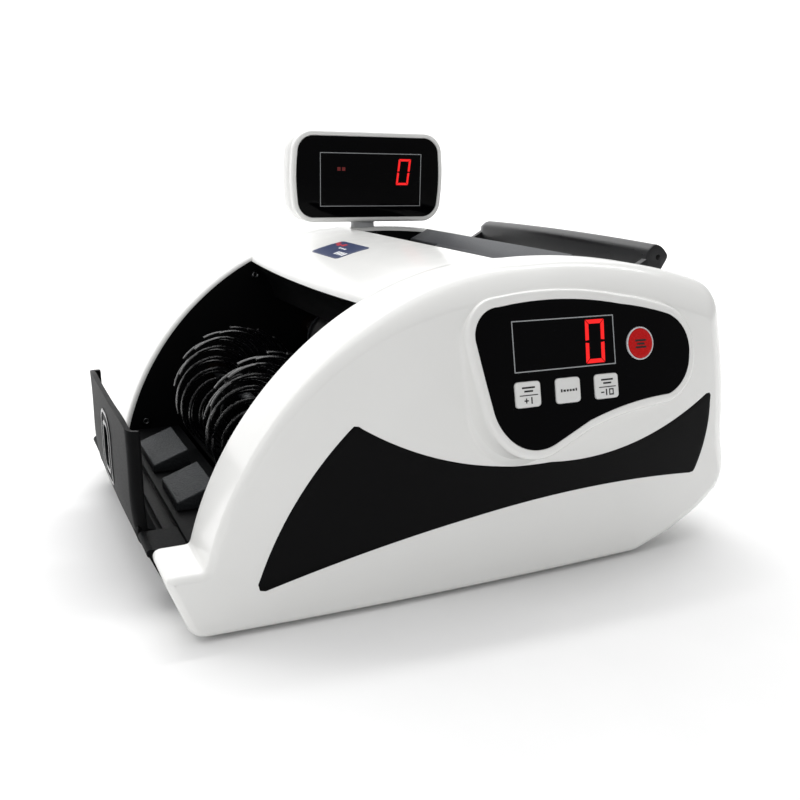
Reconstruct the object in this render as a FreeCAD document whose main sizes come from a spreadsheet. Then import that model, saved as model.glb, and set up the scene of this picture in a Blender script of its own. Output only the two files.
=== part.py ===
import FreeCAD, Part
import math
import os
import re

from FreeCAD import Placement, Rotation, Vector

# A desktop banknote counter and counterfeit detector.
# Machine coordinates while modelling: X runs from the note stacker to the handle end,
# Y runs from the operator's side to the far side, Z is up from the table.
# Every finished piece is then placed so that the row's origin is the middle of the footprint.

doc = FreeCAD.newDocument("banknote_counter")
sheet = doc.addObject("Spreadsheet::Sheet", "Sizes")

DRIVING_SIZES = {
    # whole machine
    "origin_x": 132.128, "origin_y": 112.903, "body_depth": 243.0, "side_bulge": 4.5,
    "body_left": -20.0, "body_right": 288.5, "floor_gap": 2.0, "wall": 2.5,
    "bay_near": 33.0, "bay_far": 210.0, "liner_wall": 2.0,
    # rotating mechanism
    "stack_x": 56.0, "stack_z": 66.0, "drum_x": 120.0, "drum_z": 90.0,
    "feed_x": 150.0, "feed_z": 108.0, "pick_x": 176.0, "pick_z": 125.0,
    "pinch_x": 112.0, "pinch_z": 118.0, "motor_x": 190.0, "motor_z": 50.0,
    "wheel_radius": 37.0, "wheel_hub": 11.0, "wheel_width": 12.0, "fin_count": 14,
    "drum_radius": 22.0, "feed_radius": 12.0, "pick_radius": 15.0, "pinch_radius": 6.4,
    "thick_shaft": 4.0, "thin_shaft": 3.0, "running_gap": 0.05,
    "gear_module": 1.75, "drum_teeth": 24, "feed_teeth": 16,
    # hopper
    "plate_top_x": 199.5, "plate_top_z": 152.6, "plate_slope": 0.5, "plate_near": 79.0,
    "plate_far": 164.0, "shoulder_near": 40.0, "shoulder_far": 203.0, "plate_wall": 2.0,
    # note stacker and its tray
    "floor_top": 32.5, "tray_pin_x": -12.0, "tray_pin_z": 25.0, "tray_near": 57.0,
    "tray_far": 186.0, "tray_top": 78.0, "tray_wall": 3.2, "tray_hub": 4.6,
    # handle
    "handle_x": 190.0, "handle_z": 112.0, "arm_wall": 4.0, "arm_near": 34.0, "arm_far": 205.0,
    # operator panel, in the tilted plane of its face
    "panel_x": 134.2, "panel_y": -7.63, "panel_z": 129.69, "panel_tilt": 13.1,
    "overlay_wall": 1.2, "boss_rim": 4.2, "key_travel": 1.2, "key_proud": 0.9,
    "key_width": 13.3, "key_height": 11.5, "key_pitch": 21.56, "reset_radius": 7.8,
    "key_gap": 0.35,
    # customer display
    "stem_x": 159.0, "stem_y": 218.5, "stem_radius": 7.7, "head_bottom": 157.2,
    "head_width": 105.5, "head_height": 56.2, "head_front": 207.6, "head_depth": 20.0,
    "head_corner": 16.0, "lens_border": 3.0, "head_wall": 2.2,
    # power entry at the far end
    "inlet_near": 150.0, "inlet_bottom": 46.0, "inlet_width": 31.0, "inlet_height": 24.0,
    "rocker_near": 112.0, "rocker_width": 21.0, "rocker_height": 15.0, "rocker_gap": 0.4,
}
for row, (alias, value) in enumerate(DRIVING_SIZES.items(), start=1):
    sheet.set(f"A{row}", alias)
    sheet.set(f"B{row}", str(value))
    sheet.setAlias(f"B{row}", alias)
doc.recompute()


def size(alias):
    """The value of a driving dimension as the sheet holds it."""
    return float(getattr(sheet, alias))


def linked(text):
    """An expression in which each driving dimension is read from the sheet."""
    def read(match):
        word = match.group(0)
        return "Sizes." + word if word in DRIVING_SIZES else word
    return re.sub(r"[a-z]\w+", read, str(text))


def bind(thing, **properties):
    """Binds properties to expressions. A double underscore in a name stands for a dot."""
    for name, text in properties.items():
        thing.setExpression(name.replace("__", "."), linked(text))
    return thing


NODES = []
SHIFT_X, SHIFT_Y = "-origin_x", "-origin_y"


def finish(piece, label, placed=True):
    """Registers a sub-part: gives it its label and its place in the row's frame."""
    piece.Label = label
    if placed:
        bind(piece, Placement__Base__x=SHIFT_X, Placement__Base__y=SHIFT_Y)
    NODES.append(piece)
    return piece


# ---------------------------------------------------------------- building blocks
def block(name, x, y, z):
    """A box between two bounds along each axis. Each bound is a number or an expression."""
    piece = doc.addObject("Part::Box", name)
    return bind(piece, Placement__Base__x=x[0], Placement__Base__y=y[0], Placement__Base__z=z[0],
                Length=f"({x[1]}) - ({x[0]})", Width=f"({y[1]}) - ({y[0]})", Height=f"({z[1]}) - ({z[0]})")


TURNS = {"X": Rotation(Vector(0, 1, 0), 90), "Y": Rotation(Vector(1, 0, 0), -90), "Z": Rotation()}


def rod(name, radius, start, length, axis="Y"):
    """A cylinder of a given radius from a start point, along X, Y or Z."""
    piece = doc.addObject("Part::Cylinder", name)
    piece.Placement = Placement(Vector(), TURNS[axis])
    return bind(piece, Radius=radius, Height=length, Placement__Base__x=start[0],
                Placement__Base__y=start[1], Placement__Base__z=start[2])


def fuse(name, *pieces):
    piece = doc.addObject("Part::MultiFuse", name)
    piece.Shapes = list(pieces)
    return piece


def cut(name, base, *tools):
    piece = doc.addObject("Part::Cut", name)
    piece.Base = base
    piece.Tool = tools[0] if len(tools) == 1 else fuse(name + "_tools", *tools)
    return piece


def common(name, first, second):
    piece = doc.addObject("Part::MultiCommon", name)
    piece.Shapes = [first, second]
    return piece


def group(name, *pieces):
    piece = doc.addObject("Part::Compound", name)
    piece.Links = list(pieces)
    return piece


PLANES = {"XZ": Rotation(Vector(1, 0, 0), 90), "XY": Rotation()}


def outline(name, start, steps, plane="XZ", placement=None):
    """A closed sketch. Each step is an end point, or a pair (point passed through, end point) for an arc."""
    sketch = doc.addObject("Sketcher::SketchObject", name)
    sketch.Placement = placement or Placement(Vector(), PLANES[plane])
    here = Vector(*start, 0)
    for step in steps:
        if isinstance(step[0], tuple):
            through, end = Vector(*step[0], 0), Vector(*step[1], 0)
            sketch.addGeometry(Part.Arc(here, through, end), False)
        else:
            end = Vector(*step, 0)
            sketch.addGeometry(Part.LineSegment(here, end), False)
        here = end
    return sketch


def offset(name, sketch, distance):
    """The same closed outline, moved outwards (or inwards where distance is negative)."""
    piece = doc.addObject("Part::Offset2D", name)
    piece.Source = sketch
    piece.Join = 0
    return bind(piece, Value=distance)


def swept(name, sketch, near, far, direction=Vector(0, 1, 0)):
    """An outline extruded along a direction from one distance to another."""
    piece = doc.addObject("Part::Extrusion", name)
    piece.Base = sketch
    piece.DirMode = "Custom"
    piece.Dir = direction
    piece.Solid = True
    return bind(piece, LengthFwd=far, LengthRev=f"-({near})")


def plate(name, start, steps, near, far):
    """A plate whose side view is an outline in X and Z, reaching from near to far along Y."""
    return swept(name, outline(name + "_outline", start, steps), near, far)


def turned(name, profile, centre):
    """A body turned about a line along Y from (radius, station) points: a sketch and a Revolution."""
    body = doc.addObject("PartDesign::Body", name)
    sketch = body.newObject("Sketcher::SketchObject", name + "_profile")
    origin_plane = next(f for f in body.Origin.OriginFeatures if f.Role == "XZ_Plane")
    sketch.AttachmentSupport = [(origin_plane, "")]
    sketch.MapMode = "FlatFace"
    for first, second in zip(profile, profile[1:] + profile[:1]):
        sketch.addGeometry(Part.LineSegment(Vector(*first, 0), Vector(*second, 0)), False)
    turn = body.newObject("PartDesign::Revolution", name + "_turn")
    turn.Profile = sketch
    turn.ReferenceAxis = (sketch, ["V_Axis"])
    turn.Angle = 360
    body.Placement = Placement(Vector(), TURNS["Y"])
    bind(body, Placement__Base__x=centre[0], Placement__Base__y=centre[1], Placement__Base__z=centre[2])
    return body


def from_shape(name, shape):
    """A piece whose shape is worked out by the functions of Part."""
    piece = doc.addObject("Part::Feature", name)
    piece.Shape = shape
    return piece


# ---------------------------------------------------------------- the casing's outlines
FLOOR = size("floor_gap")
SIDE_START = (-8.5, FLOOR)
SIDE_STEPS = [
    (-19.2, 29.5), ((-19.4, 31.2), (-17.8, 31.9)), (-2.4, 31.9),
    ((16.0, 76.5), (50.6, 117.0)), ((95.0, 143.3), (150.0, 153.0)), ((206.0, 151.6), (258.0, 141.2)),
    ((269.5, 134.5), (275.5, 122.0)), ((284.6, 84.0), (288.4, 44.0)), ((286.6, 33.5), (279.0, 24.2)),
    ((262.5, 12.8), (243.0, 5.8)), (222.0, FLOOR), SIDE_START,
]
side_view = outline("side_view", SIDE_START, SIDE_STEPS)
side_view_inner = offset("side_view_inner", side_view, "-wall")

LEFT, RIGHT, DEPTH, BULGE = size("body_left"), size("body_right"), size("body_depth"), size("side_bulge")
PLAN_MID, END_ROUND = 125.0, 20.0
plan_view = outline("plan_view", (LEFT, 0.0), [
    ((PLAN_MID, -BULGE), (RIGHT - END_ROUND, 0.0)),
    ((RIGHT - 0.29 * END_ROUND, 0.29 * END_ROUND), (RIGHT, END_ROUND)),
    (RIGHT, DEPTH - END_ROUND),
    ((RIGHT - 0.29 * END_ROUND, DEPTH - 0.29 * END_ROUND), (RIGHT - END_ROUND, DEPTH)),
    ((PLAN_MID, DEPTH + BULGE), (LEFT, DEPTH)), (LEFT, 0.0)], plane="XY")
plan_view_inner = offset("plan_view_inner", plan_view, "-wall")
UP = Vector(0, 0, 1)


def casing(name, side, plan):
    """The solid that both outlines agree on: the side view carried across, the plan carried up."""
    return common(name, swept(name + "_across", side, "-10", "body_depth + 10"),
                  swept(name + "_upright", plan, "-1", "160", UP))


casing_inner = casing("casing_inner", side_view_inner, plan_view_inner)


def side_block(name, near, far):
    return block(name, ("-30", "300"), (near, far), ("-1", "170"))


def side_pod(name, near, far):
    """One side housing, still solid, between two Y planes."""
    return common(name, casing(name + "_casing", side_view, plan_view), side_block(name + "_span", near, far))


near_pod = side_pod("near_pod", "-10", "bay_near")
far_pod = side_pod("far_pod", "bay_far", "255")
near_hollow = common("near_hollow", casing_inner, side_block("near_hollow_span", "-10", "bay_near + 1"))
far_hollow = common("far_hollow", casing_inner, side_block("far_hollow_span", "bay_far - 1", "255"))

# ---------------------------------------------------------------- black inlays let into both sides
SWOOSH_START = (22.5, 19.8)
SWOOSH_STEPS = [
    ((19.2, 20.6), (19.2, 24.0)), ((37.0, 60.0), (60.6, 88.0)), ((61.8, 88.9), (64.0, 88.0)),
    ((112.0, 66.2), (163.0, 59.8)), ((214.0, 63.2), (260.4, 83.6)), ((262.9, 83.4), (263.4, 80.6)),
    ((263.2, 61.0), (257.6, 42.3)), ((256.4, 41.0), (254.6, 40.8)), ((187.0, 43.4), (120.0, 38.2)),
    ((70.0, 30.4), (22.5, 19.8)),
]
INLAY_WALL = 1.2
plan_view_seat = offset("plan_view_seat", plan_view, f"-{INLAY_WALL}")
side_skin = cut("side_skin", swept("skin_outer", plan_view, "-1", "160", UP),
                swept("skin_seat", plan_view_seat, "-2", "161", UP))
swoosh = outline("swoosh", SWOOSH_START, SWOOSH_STEPS)
front_inlay = common("front_inlay", swept("front_swoosh", swoosh, "-10", "12"), side_skin)
rear_inlay = common("rear_inlay", swept("rear_swoosh", swoosh, "body_depth - 12", "body_depth + 10"),
                    side_skin)

# ---------------------------------------------------------------- the operator's panel
PANEL_TILT = size("panel_tilt")
panel_place = Placement(Vector(size("panel_x"), size("panel_y"), size("panel_z")),
                        Rotation(Vector(1, 0, 0), 90 - PANEL_TILT))
PANEL_OUT = Vector(0, -math.cos(math.radians(PANEL_TILT)), math.sin(math.radians(PANEL_TILT)))
PANEL_START = (-6.0, 6.6)
PANEL_STEPS = [
    ((27.0, 8.6), (60.0, 4.8)), ((74.0, 2.4), (87.2, -1.0)), ((97.2, -8.6), (99.8, -22.0)),
    ((96.4, -31.8), (86.0, -39.4)), ((60.0, -42.2), (38.7, -47.5)), ((29.0, -51.8), (19.0, -56.2)),
    ((7.4, -57.6), (-3.6, -52.4)), ((-9.6, -44.6), (-12.2, -36.6)), ((-15.4, -22.0), (-18.0, -9.0)),
    ((-15.6, 2.2), (-6.0, 6.6)),
]
panel_edge = outline("panel_edge", PANEL_START, PANEL_STEPS, placement=panel_place)


def behind_panel(name, sketch, near, far):
    """An outline on the panel's face extruded straight into the machine, between two depths."""
    return swept(name, sketch, near, far, PANEL_OUT * -1)


boss = behind_panel("boss", offset("boss_edge", panel_edge, "boss_rim"), "0", "34")
boss_inner_edge = offset("boss_inner_edge", panel_edge, "boss_rim - wall")
boss_inside = behind_panel("boss_inside", boss_inner_edge, "overlay_wall + wall", "60")
overlay_seat = behind_panel("overlay_seat", panel_edge, "-5", "overlay_wall")
board_window = behind_panel("board_window", offset("board_window_edge", panel_edge, "-4"), "0", "60")
boss_trim = side_block("boss_trim", "-40", "bay_near - 6")
near_with_boss = fuse("near_with_boss", near_pod, common("boss_trimmed", boss, boss_trim))
boss_inside_trim = side_block("boss_inside_trim", "-40", "bay_near + 1")
boss_hollow = common("boss_inside_trimmed", boss_inside, boss_inside_trim)
hollow_with_boss = fuse("hollow_with_boss", near_hollow, boss_hollow)
front_shell = cut("front_shell_cut", near_with_boss, hollow_with_boss, overlay_seat, board_window,
                  front_inlay)
finish(front_shell, "front_shell")
finish(cut("rear_shell_cut", far_pod, far_hollow, rear_inlay,
           rod("stem_hole", "4", ("stem_x", "stem_y", "140"), "30", "Z")), "rear_shell")
finish(group("side_inlays_group", front_inlay, rear_inlay), "side_inlays")

KEY_LOW = -32.6
RESET_AT = (70.0, -14.2)
KEY_CENTRES = {"key_menu": 0, "key_preset": 1, "key_add": 2}
KEY_FIRST = 5.8


def round_outline(name, centre, radius):
    sketch = doc.addObject("Sketcher::SketchObject", name)
    sketch.Placement = panel_place
    sketch.addGeometry(Part.Circle(Vector(*centre, 0), Vector(0, 0, 1), radius), False)
    return sketch


def square_outline(name, centre, width, height, corner):
    """A rectangle with rounded corners on the panel's face."""
    u, v, w, h, c = centre[0], centre[1], width / 2, height / 2, corner
    k = c * (1 - math.sqrt(0.5))
    return outline(name, (u - w + c, v - h), [
        (u + w - c, v - h), ((u + w - k, v - h + k), (u + w, v - h + c)),
        (u + w, v + h - c), ((u + w - k, v + h - k), (u + w - c, v + h)),
        (u - w + c, v + h), ((u - w + k, v + h - k), (u - w, v + h - c)),
        (u - w, v - h + c), ((u - w + k, v - h + k), (u - w + c, v - h))], placement=panel_place)


GAP, KEY_DEPTH = size("key_gap"), 4.6
key_holes, key_pieces = [], []
for name, place in KEY_CENTRES.items():
    centre = (KEY_FIRST + place * size("key_pitch"), KEY_LOW)
    width, height = size("key_width"), size("key_height")
    hole = square_outline(name + "_hole", centre, width + 2 * GAP, height + 2 * GAP, 2.0)
    key_holes.append(behind_panel(name + "_hole_cut", hole, "-5", "10"))
    edge = square_outline(name + "_edge", centre, width, height, 1.6)
    key_pieces.append((behind_panel(name + "_cap", edge, "-key_proud", KEY_DEPTH), name, centre))
RESET_RADIUS = size("reset_radius")
reset_hole_edge = round_outline("reset_hole_edge", RESET_AT, RESET_RADIUS + GAP)
reset_hole = behind_panel("reset_hole", reset_hole_edge, "-5", "10")
reset_edge = round_outline("reset_edge", RESET_AT, RESET_RADIUS)
reset_cap = behind_panel("reset_cap", reset_edge, "-key_proud", KEY_DEPTH)
key_pieces.append((reset_cap, "reset_button", RESET_AT))

overlay = behind_panel("overlay", panel_edge, "0", "overlay_wall")
finish(cut("panel_overlay_cut", overlay, reset_hole, *key_holes), "panel_overlay")
for cap, name, centre in key_pieces:
    finish(cap, name)

BOARD_DEPTH = KEY_DEPTH + size("key_travel") + 2.2
LED_WINDOW = {"left": 4.0, "right": 50.5, "low": -21.5, "high": -1.0}
board = behind_panel("board", outline("board_edge", (-7.0, 1.0), [
    (86.0, 1.0), (86.0, -39.0), (36.0, -39.0), (20.0, -42.0), (-7.0, -42.0),
    (-7.0, 1.0)], placement=panel_place),
    BOARD_DEPTH, BOARD_DEPTH + 1.6)
led_block = behind_panel("led_block", outline("led_edge", (LED_WINDOW["left"], LED_WINDOW["low"]), [
    (LED_WINDOW["right"], LED_WINDOW["low"]), (LED_WINDOW["right"], LED_WINDOW["high"]),
    (LED_WINDOW["left"], LED_WINDOW["high"]), (LED_WINDOW["left"], LED_WINDOW["low"])],
    placement=panel_place), "overlay_wall", BOARD_DEPTH)
switches = [behind_panel(name + "_switch", square_outline(name + "_switch_edge", centre, 6.0, 6.0, 0.5),
                         KEY_DEPTH + size("key_travel") + 0.1, BOARD_DEPTH) for _, name, centre in key_pieces]
finish(fuse("panel_board_fuse", board, led_block, *switches), "panel_board")

# ---------------------------------------------------------------- inner side plates
SHAFTS = {  # name: (centre, shaft radius)
    "stack": (("stack_x", "stack_z"), "thin_shaft"), "drum": (("drum_x", "drum_z"), "thick_shaft"),
    "feed": (("feed_x", "feed_z"), "thin_shaft"), "pick": (("pick_x", "pick_z"), "thin_shaft"),
    "pinch": (("pinch_x", "pinch_z"), "thin_shaft"),
}
BUSH_WALL, BUSH_FLANGE = "2", "1"


def liner(name, near, far):
    sheet_plate = swept(name + "_sheet", side_view_inner, near, far)
    holes = [rod(f"{name}_{shaft}_hole", f"{radius} + {BUSH_WALL}", (x, f"{near} - 1", z), "10")
             for shaft, ((x, z), radius) in SHAFTS.items()]
    holes.append(rod(name + "_motor_hole", "6", ("motor_x", f"{near} - 1", "motor_z"), "10"))
    holes.append(rod(name + "_handle_hole", "3", ("handle_x", f"{near} - 1", "handle_z"), "10"))
    return finish(cut(name + "_cut", sheet_plate, *holes), name)


liner("front_liner", "bay_near - liner_wall", "bay_near")
liner("rear_liner", "bay_far", "bay_far + liner_wall")


def bushes():
    """A flanged bush in each side plate for each of the five shafts."""
    made = []
    sides = (("near", "bay_near - liner_wall", f"bay_near + {BUSH_FLANGE}", "bay_near"),
             ("far", f"bay_far - {BUSH_FLANGE}", "bay_far + liner_wall", f"bay_far - {BUSH_FLANGE}"))
    for shaft, ((x, z), radius) in SHAFTS.items():
        for side, inner, outer, flange_at in sides:
            name = f"bush_{shaft}_{side}"
            barrel = rod(name + "_barrel", f"{radius} + {BUSH_WALL}", (x, inner, z), f"({outer}) - ({inner})")
            flange = rod(name + "_flange", f"{radius} + 3.2", (x, flange_at, z), BUSH_FLANGE)
            bore = rod(name + "_bore", f"{radius} + running_gap", (x, f"({inner}) - 1", z), "10")
            made.append(cut(name, fuse(name + "_outer", barrel, flange), bore))
    return finish(group("shaft_bushes_group", *made), "shaft_bushes")


bushes()

# ---------------------------------------------------------------- covers between the sides
roof = cut("roof", swept("roof_outer", side_view, "bay_near", "bay_far"),
           swept("roof_inner", offset("roof_inner_edge", side_view, "-3"), "bay_near - 1", "bay_far + 1"))
HOOD_LEFT, HOOD_RIGHT = "80", "146.5"
hood_span = block("hood_span", (HOOD_LEFT, HOOD_RIGHT), ("bay_near", "bay_far"), ("100", "160"))
finish(common("top_hood_common", roof, hood_span), "top_hood")

END_FROM = 206.0
end_view = outline("end_view", (END_FROM - 20, 150.6), [
    (END_FROM, 147.4), ((232.0, 142.2), (256.0, 134.6)), ((268.0, 128.0), (274.0, 116.0)),
    ((284.2, 82.0), (288.4, 44.0)), ((286.6, 33.5), (279.0, 24.2)), ((262.5, 12.8), (243.0, 5.8)),
    (222.0, FLOOR), (END_FROM - 20, FLOOR), (END_FROM - 20, 150.6)])
end_solid = swept("end_solid", end_view, "bay_near", "bay_far")
end_hollow = swept("end_hollow", offset("end_inner_edge", end_view, "-wall"), "bay_near - 1", "bay_far + 1")
END_SPAN = block("end_span", (END_FROM, "300"), ("bay_near", "bay_far"), ("0", "170"))
ARM_PATHS = (("near", "bay_near - 1", "arm_near + arm_wall + 1"), ("far", "arm_far - 1", "bay_far + 1"))
handle_slots = [block(f"handle_slot_{side}", (END_FROM - 1, "262"), (near, far), ("100", "170"))
                for side, near, far in ARM_PATHS]
inlet_window = block("inlet_window", ("270", "300"), ("inlet_near", "inlet_near + inlet_width"),
                     ("inlet_bottom", "inlet_bottom + inlet_height"))
rocker_window = block("rocker_window", ("270", "300"), ("rocker_near - 2", "rocker_near + rocker_width + 2"),
                      ("inlet_bottom + 2", "inlet_bottom + rocker_height + 6"))
finish(cut("end_cover_cut", common("end_ring", cut("end_shell", end_solid, end_hollow), END_SPAN),
           inlet_window, rocker_window, *handle_slots), "end_cover")

# ---------------------------------------------------------------- base pan, feet and screws
PAN_LEFT = "-3"
LIP_STEPS = [(-19.6, 27.5), ((-20.4, 30.4), (-17.8, 31.0)), (-3.0, 31.0), (-3.0, FLOOR), (-8.5, FLOOR)]
lips = [plate("lip_near", (-8.5, FLOOR), LIP_STEPS, "bay_near", "tray_near - 2.5"),
        plate("lip_far", (-8.5, FLOOR), LIP_STEPS, "tray_far + 2.5", "bay_far")]
FEET = [(20, 48), (20, 195), (192, 48), (192, 195)]
FOOT_RADIUS, FOOT_SEAT = 8.0, 1.2
foot_seats = [rod(f"foot_seat_{n}", FOOT_RADIUS, (x, y, FLOOR - 1), f"1 + {FOOT_SEAT}", "Z")
              for n, (x, y) in enumerate(FEET)]
BAY = ("bay_near", "bay_far")
pan = fuse("pan_outer", block("pan_floor", (PAN_LEFT, END_FROM), BAY, ("floor_gap", "floor_gap + wall")),
           block("pan_front", (PAN_LEFT, f"{PAN_LEFT} + wall"), BAY, ("floor_gap", "floor_top - 3.5")), *lips)
tray_pin_hole = rod("tray_pin_hole", "2", ("tray_pin_x", "tray_near - 12", "tray_pin_z"),
                    "tray_far - tray_near + 24")
finish(cut("base_pan_cut", pan, tray_pin_hole, *foot_seats), "base_pan")
finish(group("rubber_feet_group", *[
    rod(f"foot_{n}", FOOT_RADIUS, (x, y, 0), f"floor_gap + {FOOT_SEAT}", "Z")
    for n, (x, y) in enumerate(FEET)]), "rubber_feet")

# ---------------------------------------------------------------- note bay
finish(block("stacker_floor_plate", (f"{PAN_LEFT} - origin_x", "31 - origin_x"),
             ("bay_near - origin_y", "bay_far - origin_y"), ("floor_top - 3.5", "floor_top")),
       "stacker_floor", placed=False)
PAD_STEPS = [(0.0, 36.2), ((0.2, 37.0), (1.0, 37.5)), (18.6, 44.2), (20.6, 32.5), (0.0, 32.5)]
pads = [plate(f"pad_{side}", (0.0, 32.5), PAD_STEPS, near, far)
        for side, near, far in (("near", "68", "105"), ("far", "126", "171"))]
finish(group("note_pads_group", *pads), "note_pads")

TROUGH_INNER, TROUGH_WALL = 40.0, 1.6


def around(centre, radius, angle):
    turn = math.radians(angle)
    return (centre[0] + radius * math.cos(turn), centre[1] + radius * math.sin(turn))


def arc_strip(name, centre, inner, outer, start, end, near, far):
    """A curved plate: the ring between two radii from one angle to another."""
    middle = (start + end) / 2
    return plate(name, around(centre, inner, start), [
        (around(centre, inner, middle), around(centre, inner, end)), around(centre, outer, end),
        (around(centre, outer, middle), around(centre, outer, start)),
        around(centre, inner, start)], near, far)


STACK = (size("stack_x"), size("stack_z"))
lower_guide = arc_strip("lower_guide", STACK, TROUGH_INNER, TROUGH_INNER + TROUGH_WALL, 240, 382, *BAY)
upper_guide = plate("upper_guide", (83.0, 130.5), [
    ((91.0, 122.0), (95.0, 111.0)), (97.0, 111.0), ((93.2, 122.6), (85.4, 131.6)), (83.0, 130.5)], *BAY)
finish(group("note_guides_group", lower_guide, upper_guide), "note_guides")

# catch tray: a bowed plate with two end wings on a hinge hub
TRAY_OUT, TRAY_IN = -24.2, -24.2 + size("tray_wall")
T_NEAR, T_FAR = size("tray_near"), size("tray_far")
T_MID, TRAY_BOW, WING_END = (T_NEAR + T_FAR) / 2, 2.6, -14.5
tray_plan = outline("tray_plan", (TRAY_OUT + TRAY_BOW, T_NEAR), [
    ((TRAY_OUT, T_MID), (TRAY_OUT + TRAY_BOW, T_FAR)), (WING_END, T_FAR), (WING_END, T_FAR - 2.4),
    (TRAY_IN + TRAY_BOW, T_FAR - 2.4), ((TRAY_IN, T_MID), (TRAY_IN + TRAY_BOW, T_NEAR + 2.4)),
    (WING_END, T_NEAR + 2.4), (WING_END, T_NEAR), (TRAY_OUT + TRAY_BOW, T_NEAR)], plane="XY")
tray_walls = swept("tray_walls", tray_plan, "floor_top + 1.5", "tray_top", UP)
tray_side = plate("tray_side", (-26.0, 24.0), [
    (-26.0, 80.0), (-19.6, 80.0), ((-18.4, 76.6), (-16.4, 74.4)), ((-15.1, 60.0), (WING_END, 36.0)),
    (WING_END, 24.0), (-26.0, 24.0)], "tray_near", "tray_far")
WEB_CORNER = (TRAY_OUT + TRAY_BOW, 36.5)
tray_web = plate("tray_web", WEB_CORNER, [
    (TRAY_OUT + TRAY_BOW, 31.0), ((-19.6, 24.0), (-14.0, 21.0)), (-9.5, 24.0), (-10.0, 36.5), WEB_CORNER],
    "tray_near", "tray_far")
tray_hub = rod("tray_hub", "tray_hub", ("tray_pin_x", "tray_near", "tray_pin_z"), "tray_far - tray_near")
tray_bore = rod("tray_bore", "2 + running_gap", ("tray_pin_x", "tray_near - 1", "tray_pin_z"),
                "tray_far - tray_near + 2")
finger_slot = block("finger_slot", ("-30", "-17"), (T_MID - 8, T_MID + 8), ("40", "64"))
tray_outer = fuse("tray_outer", common("tray_upper", tray_walls, tray_side), tray_web, tray_hub)
finish(cut("catch_tray_cut", tray_outer, tray_bore, finger_slot), "catch_tray")
tray_pin = rod("tray_pin", "2", ("tray_pin_x", "tray_near - 12", "tray_pin_z"), "tray_far - tray_near + 24")

# ---------------------------------------------------------------- hopper
PLATE_TOP = (size("plate_top_x"), size("plate_top_z"))
SLOPE, PLATE_WALL = size("plate_slope"), size("plate_wall")


def on_plate(x, below=0.0):
    return (x, PLATE_TOP[1] - SLOPE * (PLATE_TOP[0] - x) - below)


DROP = PLATE_WALL * math.hypot(1, SLOPE)
PLATE_FOOT, SHOULDER_FROM = 152.0, 187.0
ramp = plate("ramp", on_plate(PLATE_FOOT), [
    PLATE_TOP, on_plate(PLATE_TOP[0], DROP), on_plate(PLATE_FOOT, DROP), on_plate(PLATE_FOOT)],
    "plate_near", "plate_far")
shoulder = plate("shoulder", on_plate(SHOULDER_FROM), [
    PLATE_TOP, on_plate(PLATE_TOP[0], DROP), on_plate(SHOULDER_FROM, DROP), on_plate(SHOULDER_FROM)],
    "shoulder_near", "shoulder_far")
back_rib = block("back_rib", ("plate_top_x - 2", "plate_top_x"), ("shoulder_near", "shoulder_far"),
                 ("plate_top_z - 14", "plate_top_z - 1"))
side_ribs = [block(f"side_rib_{side}", ("160", "170"), (near, far), ("98", "plate_top_z - 20"))
             for side, near, far in (("near", "plate_near", "plate_near + 3"),
                                     ("far", "plate_far - 3", "plate_far"))]
roller_slots = [block(f"roller_slot_{side}", ("pick_x - 17", "pick_x + 3"), (near, far), ("100", "170"))
                for side, near, far in (("near", "97", "114"), ("far", "129", "146"))]
feed_plate_outer = fuse("feed_plate_outer", ramp, shoulder, back_rib, *side_ribs)
finish(cut("feed_plate_cut", feed_plate_outer, *roller_slots), "feed_plate")

STAYS = [(165, 95), (205.5, 100), (100, 20), (250, 40)]
stay_rods = [rod(f"stay_{n}", "3", (x, "bay_near", z), "bay_far - bay_near")
             for n, (x, z) in enumerate(STAYS)]
finish(group("stay_rods_group", *stay_rods), "stay_rods")

# ---------------------------------------------------------------- rotating shafts and rollers
for shaft, label, near, far in (("stack", "stacker_shaft", 29.0, 235.0), ("drum", "drum_shaft", 13.0, 235.0),
                                ("feed", "feed_shaft", 13.0, 213.0), ("pick", "pickup_shaft", 21.5, 213.0)):
    (x, z), radius = SHAFTS[shaft]
    start = (f"{x} - origin_x", f"{near} - origin_y", z)
    finish(rod(label + "_rod", radius, start, far - near), label, placed=False)


def rollers(label, shaft, outer, spans):
    """Rollers of one radius on a shaft, one between each pair of Y stations."""
    (x, z), radius = SHAFTS[shaft]
    made = [cut(f"{label}_{n}", rod(f"{label}_{n}_tyre", outer, (x, near, z), far - near),
                rod(f"{label}_{n}_bore", radius, (x, near - 1, z), far - near + 2))
            for n, (near, far) in enumerate(spans)]
    return finish(group(label + "_group", *made), label)


rollers("feed_rollers", "feed", "feed_radius", [(92, 107), (136, 151)])
rollers("pickup_rollers", "pick", "pick_radius", [(99, 112), (131, 144)])
pinch_sleeves = [rod(f"pinch_sleeve_{near}", "pinch_radius", ("pinch_x", near, "pinch_z"), 14)
                 for near in (90, 139)]
pinch_axle = rod("pinch_axle", "thin_shaft", ("pinch_x", "31", "pinch_z"), "181")
finish(fuse("pinch_roller_fuse", pinch_axle, *pinch_sleeves), "pinch_roller")
core_radius = "drum_radius - 2.5"
drum_core = cut("drum_core", rod("drum_core_rod", core_radius, ("drum_x", 80, "drum_z"), 83),
                rod("drum_core_bore", "thick_shaft", ("drum_x", 79, "drum_z"), 85))
finish(drum_core, "feed_drum")
tyres = [cut(f"drum_tyre_{n}", rod(f"drum_tyre_{n}_rubber", "drum_radius", ("drum_x", near, "drum_z"), 14),
             rod(f"drum_tyre_{n}_bore", core_radius, ("drum_x", near - 1, "drum_z"), 16))
             for n, near in enumerate((90, 139))]
finish(group("drum_tyres_group", *tyres), "drum_tyres")


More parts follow.
